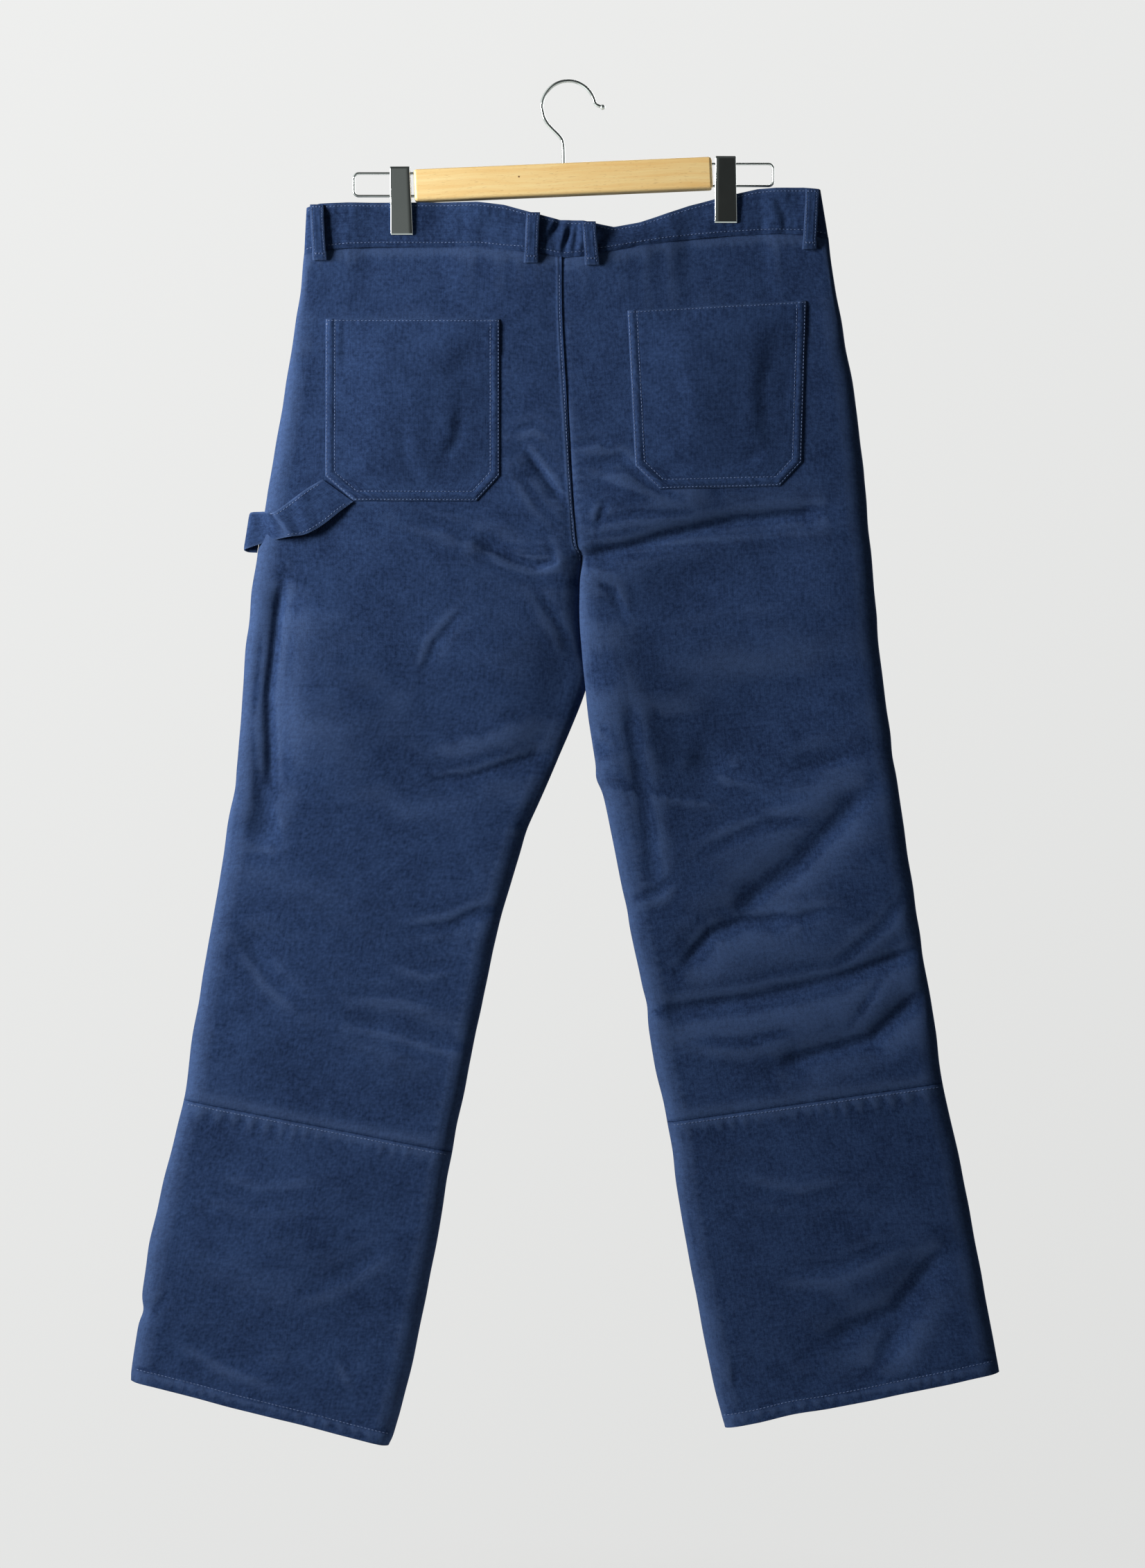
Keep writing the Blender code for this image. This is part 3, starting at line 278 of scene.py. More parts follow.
BAND_CREASES = (
    Crease(2.8, 2.0, 1.4, ((-6, -125), (-20, -146))),
    Crease(2.6, 2.3, 1.4, ((4, -126), (-5, -156))),
    Crease(2.4, 1.8, -1.1, ((9, -128), (6, -157))),
    Crease(3.0, 1.2, 0.7, ((-24, -122), (-27, -148))),
    Crease(4.0, 1.4, -0.9, ((30, -138), (62, -132))),
    Crease(4.0, 1.0, 0.6, ((182, -96), (196, -121), (196, -137))),
    Crease(4.0, 0.8, 0.4, ((175, -124), (175, -139))),
    Crease(3.5, 0.6, 0.3, ((-98, -112), (-94, -146))),
    Crease(3.5, 0.6, 0.3, ((84, -126), (92, -146))),
)
EDGE_NICKS = (
    ("left", "outer", -1116, 3.0, 9),
    ("left", "outer", -640, 1.2, 14),
    ("left", "inner", -680, 1.0, 16),
    ("right", "inner", -633, -2.4, 9),
    ("right", "inner", -752, 1.3, 14),
    ("right", "inner", -838, 1.4, 12),
    ("right", "outer", -790, 1.4, 16),
    ("right", "outer", -612, 1.2, 14),
)
print("folds and creases:", len(BACK_FOLDS + FRONT_FOLDS) + len(BACK_CREASES + FRONT_CREASES + BAND_CREASES))

# %% [markdown]
# ## Small mathematics for cloth
# A smooth curve through a table's rows gives the levels between them. An eased step goes from 0 to
# 1 without a kink. Soft noise is a grid of seeded random numbers, eased between its points.

# %% Curves, steps and noise


def through(rows, steps):
    """Reads a smooth curve through rows of numbers, with the given steps after each row."""
    rows = np.asarray(rows, dtype=float)
    padded = np.vstack([2 * rows[0] - rows[1], rows, 2 * rows[-1] - rows[-2]])
    points = []
    for index, count in enumerate(steps):
        a, b, c, d = padded[index:index + 4]
        for step in range(count):
            t = step / count
            points.append(0.5 * (2 * b + (c - a) * t + (2 * a - 5 * b + 4 * c - d) * t * t
                                 + (3 * b - a - 3 * c + d) * t ** 3))
    points.append(rows[-1])
    return np.array(points)


def ease(t):
    t = np.clip(t, 0, 1)
    return t * t * (3 - 2 * t)


def eased_between(x, places, values):
    """Steps smoothly from value to value, level at each place."""
    places = np.asarray(places, dtype=float)
    values = np.asarray(values, dtype=float)
    x = np.clip(x, places[0], places[-1])
    index = np.clip(np.searchsorted(places, x) - 1, 0, len(places) - 2)
    t = ease((x - places[index]) / (places[index + 1] - places[index]))
    return values[index] * (1 - t) + values[index + 1] * t


def soft_noise(x, z, size_x, size_z, seed):
    """Smooth random numbers from -1 to 1 that change over the given sizes."""
    lattice = np.random.RandomState(seed).uniform(-1, 1, (64, 64))
    u = np.asarray(x) / size_x + 500
    v = np.asarray(z) / size_z + 500
    column = np.floor(u).astype(int)
    row = np.floor(v).astype(int)
    s = ease(u - column)
    t = ease(v - row)
    a = lattice[row % 64, column % 64]
    b = lattice[row % 64, (column + 1) % 64]
    c = lattice[(row + 1) % 64, column % 64]
    d = lattice[(row + 1) % 64, (column + 1) % 64]
    return (a * (1 - s) + b * s) * (1 - t) + (c * (1 - s) + d * s) * t


def unit(vectors):
    return vectors / np.maximum(np.linalg.norm(vectors, axis=-1, keepdims=True), 1e-9)


# %% [markdown]
# ## Folds as heights
# Each point of the cloth asks how far it lies from a fold's line, and on which side. A bell curve
# of that distance is the trough. For a crease, a second and wider bell beside it is the ridge.

# %% Heights of folds and creases
CREASE_DIES_OVER = 28.0
CREASE_LOSS = 0.25
CREASE_LOSS_TOP = -540
FOLD_WIDER = 1.35
FOLD_DEEPER = 1.25


def from_line(line, x, z):
    """Distance from a line of points, the side it is on, and how far along it lies."""
    nearest = np.full_like(x, np.inf)
    side = np.zeros_like(x)
    along = np.zeros_like(x)
    walked = 0.0
    for (x1, z1), (x2, z2) in zip(line, line[1:]):
        length = math.hypot(x2 - x1, z2 - z1)
        raw = ((x - x1) * (x2 - x1) + (z - z1) * (z2 - z1)) / length ** 2
        t = np.clip(raw, 0, 1)
        away = np.hypot(x - x1 - t * (x2 - x1), z - z1 - t * (z2 - z1))
        closer = away < nearest
        cross = ((x - x1) * (z2 - z1) - (z - z1) * (x2 - x1)) / length
        nearest = np.where(closer, away, nearest)
        side = np.where(closer, cross, side)
        along = np.where(closer, walked + t * length, along)
        walked += length
    return nearest, side, along, walked


def fold_depth(folds, x, z):
    total = np.zeros_like(x)
    for fold in folds:
        nearest, side, along, length = from_line(fold.line, x, z)
        lives = 0.3 + 0.7 * ease(np.minimum(along, length - along) / min(2.2 * fold.width, 0.45 * length))
        total += lives * FOLD_DEEPER * fold.depth * np.exp(-(nearest / (FOLD_WIDER * fold.width)) ** 2)
    return total


def crease_height(creases, x, z):
    total = np.zeros_like(x)
    for crease in creases:
        nearest, side, along, length = from_line(crease.line, x, z)
        dies = min(CREASE_DIES_OVER, 0.45 * length)
        lives = (1 - CREASE_LOSS * ease((CREASE_LOSS_TOP - z) / 90)) * (
            0.2 + 0.8 * ease(np.minimum(along, length - along) / dies))
        signed = np.sign(side) * nearest
        trough = np.exp(-(nearest / crease.width) ** 2)
        beside = math.copysign(1.5 * crease.width, crease.ridge)
        bump = np.exp(-((signed - beside) / (1.6 * crease.width)) ** 2)
        total += lives * (abs(crease.ridge) * bump - crease.depth * trough)
    return total


# %% [markdown]
# ## The surface of the trousers
# Both legs are flat tubes: a back sheet and a front sheet that meet at the side seam and at the
# inseam. Above the fork the two sides share the centre seam. The sheets rise from their folded
# edges on a steep curve, because hanging trousers are flat in the middle and round at the edges.

# %% The surface's shape values
LEG_TUCK = 0.3
LEG_LAP_REACH = 1.5
LEG_LAP_RISE = 4.5
LEG_LAP_TOP = -433
LEG_LAP_FOOT = -560
LEG_LAP_GROWS_OVER = 26.0
LEG_LAP_FADES_OVER = 60.0
LEG_LAP_CROWDING = 8
EDGE_ROUND = 9.0
EDGE_POWER = 4
EDGE_EXTRA = 9.0
EDGE_WANDER = 0.6
COLUMN_CROWDING = 1.35
SEAT_DIP = 0.32
SEAT_DIP_TOP = -300
SEAT_DIP_GROWS_OVER = 125.0
BAND_BLEND = 90.0
SAG_BLEND = 55.0
FOLDS_START_BELOW = 50.0
FRONT_LEAN_SHARE = 0.75
ROWS_PER_STEP = 10
HALF_COLUMNS = {"back": 70, "front": 32}
BAND_ROWS = 16


def edge_rise(distance, depth):
    """How far the cloth has risen from a folded edge, as a share of its full depth."""
    reach = EDGE_POWER * depth ** 2 / (2 * np.minimum(EDGE_ROUND, 0.9 * depth))
    share = np.clip(distance / np.maximum(reach, 1), 0, 1)
    return np.sqrt(np.clip(1 - (1 - share) ** EDGE_POWER, 0, 1))


def rows_before(level_name):
    """Counts the fine rows from the waist seam down to a named level."""
    count = 0
    for level in HIPS + LEGS["left"]:
        if level.name == level_name:
            return count * ROWS_PER_STEP
        count += level.steps
    raise ValueError(level_name)


def side_rows(side):
    """Rows down one side: the outer edge, the inner edge, the half depth and how shut the tube is."""
    rows = []
    steps = []
    for hip in HIPS:
        outer = (hip.left_x, hip.left_z) if side == "left" else (hip.right_x, hip.right_z)
        rows.append((*outer, hip.centre_x, hip.centre_z, hip.depth, hip.shut))
        steps.append(hip.steps * ROWS_PER_STEP)
    for leg in LEGS[side]:
        rows.append((leg.outer_x, leg.outer_z, leg.inner_x, leg.inner_z, leg.depth, 1))
        steps.append(leg.steps * ROWS_PER_STEP)
    table = through(rows, steps[:-1])
    first_shut = rows_before("crotch")
    closing = 2 * ROWS_PER_STEP
    table[:first_shut - closing, 5] = 0
    table[first_shut - closing:first_shut + 1, 5] = np.linspace(0, 1, closing + 1)
    table[first_shut:, 5] = 1
    for nick_side, edge, z, inwards, width in EDGE_NICKS:
        if nick_side != side:
            continue
        column = 0 if edge == "outer" else 2
        away = 1 if (side == "left") == (edge == "outer") else -1
        table[:, column] += away * inwards * np.exp(-((table[:, column + 1] - z) / width) ** 2)
    return table


def columns_across(face):
    half = HALF_COLUMNS[face]
    t = np.arange(-half, half + 1) / half
    return (np.sign(t) * (1 - (1 - np.abs(t)) ** COLUMN_CROWDING) + 1) / 2


def band_value(x, field):
    return np.interp(x, [b.foot_x for b in BANDS], [getattr(b, field) for b in BANDS])


# %% [markdown]
# ## Seams, hems and small waves
# A seam shows as a step and a puckered edge, because two or four layers of cloth lie under it. The
# seam allowance makes a low ridge 19 mm inside each edge, and the hem is turned up by 12 mm.

# %% Relief of the seams
ALLOWANCE = 19.0
ALLOWANCE_RISE = 0.3
HEM_TURN = 12.0
HEM_WANDER = 1.1
HEM_RISE = 0.7
SEAM_ROW = 3.0
BILLOW = 1.5
MIDDLE_WAVE = 0.3
RIPPLE = 0.09


def pucker(along, seed, spacing=9.0):
    """Uneven small waves along a row of stitching, from -1 to 1."""
    drift = 0.55 * spacing * soft_noise(along, along * 0, 3.1 * spacing, 1, seed)
    size = 0.55 + 0.45 * soft_noise(along, along * 0, 2.3 * spacing, 1, seed + 1)
    return size * np.sin((along + drift) * 2 * math.pi / spacing)


def bell(distance, width):
    return np.exp(-(distance / width) ** 2)


def seam_relief(face, from_outer, from_inner, shut, from_foot, from_calf, below, along):
    """Height in mm that the seams add to a leg's sheet."""
    rise = shut * ALLOWANCE_RISE * (1 - ease((from_inner - ALLOWANCE + 4) / 8))
    rise = rise + (1 - shut) * 0.16 * bell(from_inner - 7, 6) * pucker(from_foot, 45)
    rise = rise + 0.6 * ALLOWANCE_RISE * (1 - ease((from_outer - ALLOWANCE + 4) / 8))
    rise = rise + shut * 0.15 * bell(from_inner - ALLOWANCE, 3) * pucker(from_foot, 41)
    hem = HEM_RISE * (1 - ease((from_foot - HEM_TURN + 1) / 2.5))
    hem = hem - 0.55 * bell(from_foot - HEM_TURN, 1.8)
    hem = hem + 0.3 * bell(from_foot - 0.55 * HEM_TURN, 5) * pucker(along, 43, 13.0)
    waist = -1.0 * bell(below, 2.5) + 0.12 * bell(below - 8, 6) * pucker(along, 47)
    total = rise + hem + waist
    if face == "back":
        under = np.where(from_calf < 0, 1.0, 0.0)
        total = total + under * (0.75 * np.exp(from_calf / 12) - 0.4 * bell(from_calf + SEAM_ROW, 1.4))
        total = total + under * 0.34 * bell(from_calf + 8, 9) * pucker(along, 53, 14.0)
        total = total - (1 - under) * (0.5 * bell(from_calf, 2.0) - 0.12 * bell(from_calf - 8, 6))
    return total


def waves(x, z, seed):
    """Broad billows and small ripples over the whole cloth."""
    tilt = x * 0.35 + z
    broad = BILLOW * soft_noise(x, tilt, 110, 84, seed)
    middle = MIDDLE_WAVE * soft_noise(x, tilt, 52, 34, seed + 1)
    small = RIPPLE * soft_noise(x, z - 0.25 * x, 30, 14, seed + 2)
    return broad + middle + small


# %% The fine surface of one side's back or front
Sheet = namedtuple("Sheet", "points uv side face")


def side_surface(side, face):
    """Rows of points from the waist seam to the hem, and their places on the flat cloth."""
    sign = -1 if face == "back" else 1
    folds = BACK_FOLDS if face == "back" else FRONT_FOLDS
    creases = BACK_CREASES if face == "back" else FRONT_CREASES
    across = columns_across(face)[None, :]
    table = side_rows(side)
    outer_x, outer_z, inner_x, inner_z, depth, shut = (table[:, i][:, None] for i in range(6))
    towards_middle = 1 if side == "left" else -1
    lap = ease((LEG_LAP_TOP - inner_z) / LEG_LAP_GROWS_OVER)
    lap = lap * (1 - ease((LEG_LAP_FOOT - inner_z) / LEG_LAP_FADES_OVER))
    inner_x = inner_x + towards_middle * (LEG_TUCK * shut * (1 - lap) + LEG_LAP_REACH * lap)
    apart = ease((-560 - inner_z) / 60)
    inner_x = inner_x + EDGE_WANDER * apart * soft_noise(inner_z, inner_z * 0, 27, 1, 31)
    outer_x = outer_x + EDGE_WANDER * soft_noise(outer_z, outer_z * 0, 27, 1, 32 if side == "left" else 33)
    x = outer_x + (inner_x - outer_x) * across
    z = outer_z + (inner_z - outer_z) * across
    z[-1] = z[-1] + HEM_WANDER * soft_noise(x[-1], x[-1] * 0, 34, 1, 35)
    z[-2] = z[-2] + 0.6 * HEM_WANDER * soft_noise(x[-2], x[-2] * 0, 34, 1, 35)
    width = np.hypot(inner_x - outer_x, inner_z - outer_z)
    waist_x = x[0]
    waist_line = z[0].copy()
    below = waist_line[None, :] - z
    z = z + (band_value(waist_x, "foot_z") - waist_line)[None, :] * np.clip(1 - below / SAG_BLEND, 0, 1)
    pinch = eased_between(waist_x, [b.foot_x for b in BANDS], [b.half_depth for b in BANDS])
    full = pinch[None, :] + (depth - pinch[None, :]) * ease(below / BAND_BLEND)
    rise = edge_rise(across * width, full)
    closing = np.maximum(shut, SEAT_DIP * ease((SEAT_DIP_TOP - inner_z) / SEAT_DIP_GROWS_OVER))
    inner_rise = 1 - closing + closing * edge_rise((1 - across) * width, full)
    dents = fold_depth(folds, x, z) * ease(below / FOLDS_START_BELOW)
    lift = towards_middle * LEG_LAP_RISE * lap * across ** LEG_LAP_CROWDING

    steps = np.linalg.norm(np.diff(np.dstack([x, z]), axis=0), axis=2)
    down = np.vstack([np.zeros(x.shape[1]), np.cumsum(steps, axis=0)])
    from_foot = down[-1][None, :] - down
    calf_row = rows_before("calf seam")
    from_calf = down[calf_row][None, :] - down
    from_outer = across * width
    from_inner = (1 - across) * width
    seed = 3 if face == "back" else 17
    height = crease_height(creases, x, z) + waves(x, z, seed)
    height = height * (0.3 + 0.7 * ease(below / FOLDS_START_BELOW))
    height = height + seam_relief(face, from_outer, from_inner, shut, from_foot, from_calf, below,
                                  from_outer)
    still_outer = ease((from_outer - 0.5) / 7)
    still_inner = 1 - shut + shut * ease((from_inner - 0.5) / 7)
    felled = 0.6 * (1 - ease((from_inner - 4.4) / 1.2)) - 0.3 * bell(from_inner - 2.1, 0.8)
    sunk = -0.5 * bell(from_inner, 3.0)
    centre_lap = (1 - shut) * (felled if side == "left" else sunk)
    still_centre = shut + (1 - shut) * ease((from_inner - 0.2) / 2)
    height = height * still_inner * still_centre + centre_lap
    body = np.maximum(full - dents, 0.2 * full)
    y = sign * (body * rise * inner_rise + height * still_outer * rise) + lift
    flat_x = sign * towards_middle * width * (across - 0.5)
    uv = np.dstack([flat_x + 0 * x, -down]) * MM
    return Sheet(np.dstack([x, y, z]), uv, side, face)


SURFACES = {}
for each_side in SIDES:
    for each_face in FACES:
        SURFACES[each_side, each_face] = side_surface(each_side, each_face)
print("points on a back sheet:", SURFACES["left", "back"].points.shape[:2])

# %% [markdown]
# ## Writing a shader as Python
# A shader is a tree of nodes. The class below holds one output socket and turns + - * / into Math
# nodes, so a pattern reads like a formula. Its one other method adds a node of any other type.

# %% A socket that can be used in formulas


class Wire:
    """One output socket of a material's tree."""

    def __init__(self, tree, socket=None):
        self.tree = tree
        self.socket = socket

    def node(self, kind, settings=(), values=(), output=0):
        """Adds a node, sets its options, then its inputs by name or number."""
        made = self.tree.nodes.new(kind)
        for key, value in dict(settings).items():
            if key == "stops":
                fill_ramp(made.color_ramp, value)
            else:
                setattr(made, key, value)
        for key, value in dict(values).items():
            if isinstance(value, Wire):
                self.tree.links.new(value.socket, made.inputs[key])
            else:
                made.inputs[key].default_value = value
        return Wire(self.tree, made.outputs[output])

    def math(self, operation, other=0.0, third=0.0, clamp=False):
        return self.node("ShaderNodeMath", {"operation": operation, "use_clamp": clamp},
                         {0: self, 1: other, 2: third})

    def __add__(self, other):
        return self.math("ADD", other)

    def __radd__(self, other):
        return self.math("ADD", other)

    def __sub__(self, other):
        return self.math("SUBTRACT", other)

    def __rsub__(self, other):
        return (self * -1.0).math("ADD", other)

    def __mul__(self, other):
        return self.math("MULTIPLY", other)

    def __rmul__(self, other):
        return self.math("MULTIPLY", other)

    def __truediv__(self, other):
        return self.math("DIVIDE", other)

    def power(self, other):
        return self.math("POWER", other)

    def sine(self):
        return self.math("SINE")

    def clamped(self):
        return self.math("ADD", 0.0, clamp=True)

    def between(self, low, high):
        """Rises smoothly from 0 to 1 as the value goes from low to high."""
        return self.node("ShaderNodeMapRange", {"interpolation_type": "SMOOTHSTEP"},
                         {0: self, 1: low, 2: high})

    def mixed(self, first, second):
        """A colour between two colours, by this value."""
        return self.node("ShaderNodeMix", {"data_type": "RGBA"}, {0: self, 6: first, 7: second}, 2)


def fill_ramp(ramp, stops):
    while len(ramp.elements) < len(stops):
        ramp.elements.new(1.0)
    for element, (place, colour) in zip(ramp.elements, stops):
        element.position = place
        element.color = colour


def new_material(name):
    """A material with one Principled shader: returns both, and a first wire of its tree."""
    material = bpy.data.materials.new(name)
    material.use_nodes = True
    shader = material.node_tree.nodes["Principled BSDF"]
    return material, shader, Wire(material.node_tree)


def noise(wire, place, scale, detail=2.0, roughness=0.5, stretch=(1, 1, 1), offset=(0, 0, 0)):
    """Noise from 0 to 1 at so many cells a metre, stretched along the axes."""
    moved = wire.node("ShaderNodeMapping", (), {0: place, 1: offset, 3: stretch})
    return wire.node("ShaderNodeTexNoise", (), {"Vector": moved, "Scale": scale, "Detail": detail,
                                                "Roughness": roughness})


def rgb(red, green, blue):
    """A colour that was measured from 0 to 255 on a screen, as light values."""
    values = []
    for value in (red, green, blue):
        share = value / 255
        values.append(share / 12.92 if share <= 0.04045 else ((share + 0.055) / 1.055) ** 2.4)
    return (*values, 1.0)


# %% [markdown]
# ## Navy twill
# Work trousers are woven as a twill, whose yarns make fine slanting ribs. The dye sits unevenly,
# the warp yarns have thick places that show as streaks, and folds and edges rub lighter. The
# pattern reads each piece's own map, which is laid out in metres along the cloth.

# %% The twill material
RIB_SPACING = 1.05
RIB_SLANT = math.radians(63)


def twill(name, dark, light, rub, seed=0.0):
    material, shader, wire = new_material(name)
    place = wire.node("ShaderNodeUVMap", {"uv_map": "cloth"})
    split = wire.node("ShaderNodeSeparateXYZ", (), {0: place})
    across = split
    down = Wire(wire.tree, split.socket.node.outputs[1])
    shift = (seed, 0.7 * seed, 0)
    mottle = noise(wire, place, 16, 3.0, 0.6, offset=shift)
    grain = noise(wire, place, 300, 2.0, 0.6, offset=shift)
    blotch = noise(wire, place, 55, 3.0, 0.6, offset=shift)
    streaks = noise(wire, place, 900, 2.0, 0.6, (1, 0.07, 1), shift)
    threads = noise(wire, place, 700, 2.0, 0.6, (0.09, 1, 1), shift)
    speckle = noise(wire, place, 780, 2.5, 0.7, offset=shift)
    wobble = noise(wire, place, 120, 2.0, 0.5, offset=shift)
    turn = 2 * math.pi / (RIB_SPACING * MM)
    slanted = across * (turn * math.sin(RIB_SLANT)) + down * (turn * math.cos(RIB_SLANT))
    ribs = (slanted + wobble * 6.0).sine() * 0.5 + 0.5
    wear = wire.node("ShaderNodeAttribute", {"attribute_name": "wear"}, (), 2)
    tone = (mottle - 0.5) * 0.9 + (blotch - 0.5) * 0.8 + (streaks - 0.5) * 0.9
    tone = tone + (grain - 0.5) * 1.7 + (threads - 0.5) * 0.45 + (speckle - 0.5) * 0.9 + (ribs - 0.5) * 0.18 + 0.5
    base = tone.clamped().mixed(dark, light)
    rubbed = (wear * (speckle + 0.5)).clamped()
    colour = rubbed.mixed(base, rub)
    wire.tree.links.new(colour.socket, shader.inputs["Base Color"])
    rough = 0.92 - ribs * 0.05 - rubbed * 0.06
    wire.tree.links.new(rough.socket, shader.inputs["Roughness"])
    height = ribs * 0.35 + speckle * 0.9 + streaks * 0.35 + threads * 0.25
    bump = wire.node("ShaderNodeBump", (), {"Strength": 0.55, "Distance": 0.25 * MM, "Height": height})
    wire.tree.links.new(bump.socket, shader.inputs["Normal"])
    shader.inputs["Sheen Weight"].default_value = 0.03
    shader.inputs["Sheen Roughness"].default_value = 0.45
    shader.inputs["Sheen Tint"].default_value = (0.45, 0.6, 1.0, 1.0)
    shader.inputs["Specular IOR Level"].default_value = 0.1
    return material


NAVY_DARK = (0.0075, 0.0185, 0.058, 1.0)
NAVY_LIGHT = (0.028, 0.058, 0.150, 1.0)
NAVY_RUB = (0.070, 0.118, 0.25, 1.0)
TWILL = twill("navy twill", NAVY_DARK, NAVY_LIGHT, NAVY_RUB)
STRAP_TWILL = twill("navy twill strap", NAVY_DARK, NAVY_LIGHT, NAVY_RUB, 3.1)

# %% [markdown]
# ## Thread
# The seams are sewn with a navy thread that shines a little more than the cloth does. Its two
# plies show as fine bands round each stitch, which a wave of noise is enough to suggest.

# %% The thread material


def thread(name):
    material, shader, wire = new_material(name)
    place = Wire(wire.tree, wire.node("ShaderNodeTexCoord").socket.node.outputs["Object"])
    fibres = noise(wire, place, 1500, 2.0)
    patches = noise(wire, place, 60, 2.0)
    tone = ((fibres - 0.5) * 1.0 + (patches - 0.5) * 1.2 + 0.5).clamped()
    colour = tone.mixed((0.024, 0.048, 0.12, 1), (0.13, 0.20, 0.39, 1))
    wire.tree.links.new(colour.socket, shader.inputs["Base Color"])
    wire.tree.links.new((0.7 - fibres * 0.2).socket, shader.inputs["Roughness"])
    return material


THREAD = thread("navy thread")
print("cloth materials:", TWILL.name, STRAP_TWILL.name, THREAD.name)

# %% [markdown]
# ## From a table of points to a cloth piece
# Each sheet starts as a grid, one of Blender's primitives. Its corners are moved to the points of
# the surface, and a Solidify modifier then gives the cloth its thickness, inwards. The map is laid
# out in metres, so the weave has the same scale on every piece.

# %% The sheet maker
CLOTH_THICKNESS = 1.1


def deselect():
    bpy.ops.object.select_all(action="DESELECT")


def keep_only(piece):
    deselect()
    bpy.context.view_layer.objects.active = piece
    piece.select_set(True)


def turn_faces_outwards(piece, outward):
    """Flips the faces where they look inwards; a sheet with no outward side wraps round y = 0."""
    normals = np.empty(len(piece.data.polygons) * 3)
    centres = np.empty(len(piece.data.polygons) * 3)
    piece.data.polygons.foreach_get("normal", normals)
    piece.data.polygons.foreach_get("center", centres)
    normals = normals.reshape(-1, 3)
    agree = (normals[:, 1] * centres[1::3]).sum() if outward is None else normals.mean(axis=0) @ outward
    if agree < 0:
        bpy.ops.object.mode_set(mode="EDIT")
        bpy.ops.mesh.select_all(action="SELECT")
        bpy.ops.mesh.flip_normals()
        bpy.ops.object.mode_set(mode="OBJECT")


def bulges(points, sign):
    """How far each point stands out from the mean of its neighbours, in millimetres."""
    y = sign * points[..., 1]
    flat = y.copy()
    for _ in range(12):
        flat[1:-1, 1:-1] = 0.25 * (flat[:-2, 1:-1] + flat[2:, 1:-1] + flat[1:-1, :-2] + flat[1:-1, 2:])
    return y - flat


def make_sheet(name, points, uv, outward, material, thickness=CLOTH_THICKNESS, wear=None, smooth=50):
    """A grid primitive moved to rows and columns of points in millimetres, then made solid."""
    rows, columns = points.shape[:2]
    deselect()
    bpy.ops.mesh.primitive_grid_add(x_subdivisions=columns - 1, y_subdivisions=rows - 1, size=1)
    piece = bpy.context.object
    piece.name = name
    piece.data.name = name
    count = len(piece.data.vertices)
    start = np.empty(count * 3)
    piece.data.vertices.foreach_get("co", start)
    start = start.reshape(-1, 3)
    column = np.rint((start[:, 0] + 0.5) * (columns - 1)).astype(int)
    row = np.rint((0.5 - start[:, 1]) * (rows - 1)).astype(int)
    piece.data.vertices.foreach_set("co", (points[row, column] * MM).astype(np.float32).ravel())
    layer = piece.data.uv_layers[0]
    layer.name = "cloth"
    corner = np.empty(len(piece.data.loops), int)
    piece.data.loops.foreach_get("vertex_index", corner)
    layer.data.foreach_set("uv", uv[row, column][corner].astype(np.float32).ravel())
    rubbed = piece.data.attributes.new("wear", "FLOAT", "POINT")
    amount = np.zeros(points.shape[:2]) if wear is None else wear
    rubbed.data.foreach_set("value", np.clip(amount[row, column], 0, 1).astype(np.float32))
    piece.data.update()
    turn_faces_outwards(piece, outward)
    solid = piece.modifiers.new("cloth thickness", "SOLIDIFY")
    solid.thickness = thickness * MM
    solid.offset = -1
    bpy.ops.object.modifier_apply(modifier=solid.name)
    bpy.ops.object.shade_smooth_by_angle(angle=math.radians(smooth))
    piece.data.materials.append(material)
    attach(piece, BODY)
    return piece


def tree_of(*sheets):
    """Something to drop points on: the outer skins of sheets, given as rows of points."""
    points = []
    faces = []
    for grid in sheets:
        rows, columns = grid.shape[:2]
        first = len(points)
        points.extend(map(tuple, grid.reshape(-1, 3)))
        index = np.arange(rows * columns).reshape(rows, columns) + first
        quads = np.stack([index[:-1, :-1], index[1:, :-1], index[1:, 1:], index[:-1, 1:]], axis=-1)
        faces.extend(map(tuple, quads.reshape(-1, 4).tolist()))
    return BVHTree.FromPolygons(points, faces)


def dropped(tree, x, z, sign, missing=0.0):
    """The depth at which lines along Y first meet the cloth from outside."""
    found = np.full(np.shape(x), missing, dtype=float)
    for place in np.ndindex(*np.shape(x)):
        hit = tree.ray_cast(Vector((x[place], sign * 200, z[place])), Vector((0, -sign, 0)))[0]
        if hit:
            found[place] = hit.y
    return found


# %% [markdown]
# ## Stitches
# A lockstitch shows as short bars of thread with small gaps. One stitch is modelled from a sphere,
# pulled long and flattened, and copied along every seam.

# %% The stitch maker
STITCH_SPACING = 3.3
STITCH_LENGTH = 2.5
STITCH_WIDTH = 0.78
STITCH_HEIGHT = 0.6


def one_stitch():
    """The corners and faces of a single stitch, one millimetre being its half length."""
    deselect()
    bpy.ops.mesh.primitive_uv_sphere_add(segments=6, ring_count=4, radius=1)
    bar = bpy.context.object
    bpy.ops.transform.rotate(value=math.pi / 2, orient_axis="Y", center_override=(0, 0, 0))
    bpy.ops.object.transform_apply(location=False, rotation=True, scale=True)
    corners = np.array([v.co[:] for v in bar.data.vertices])
    faces = [tuple(f.vertices) for f in bar.data.polygons]
    bpy.data.objects.remove(bar)
    return corners, faces


STITCH = one_stitch()


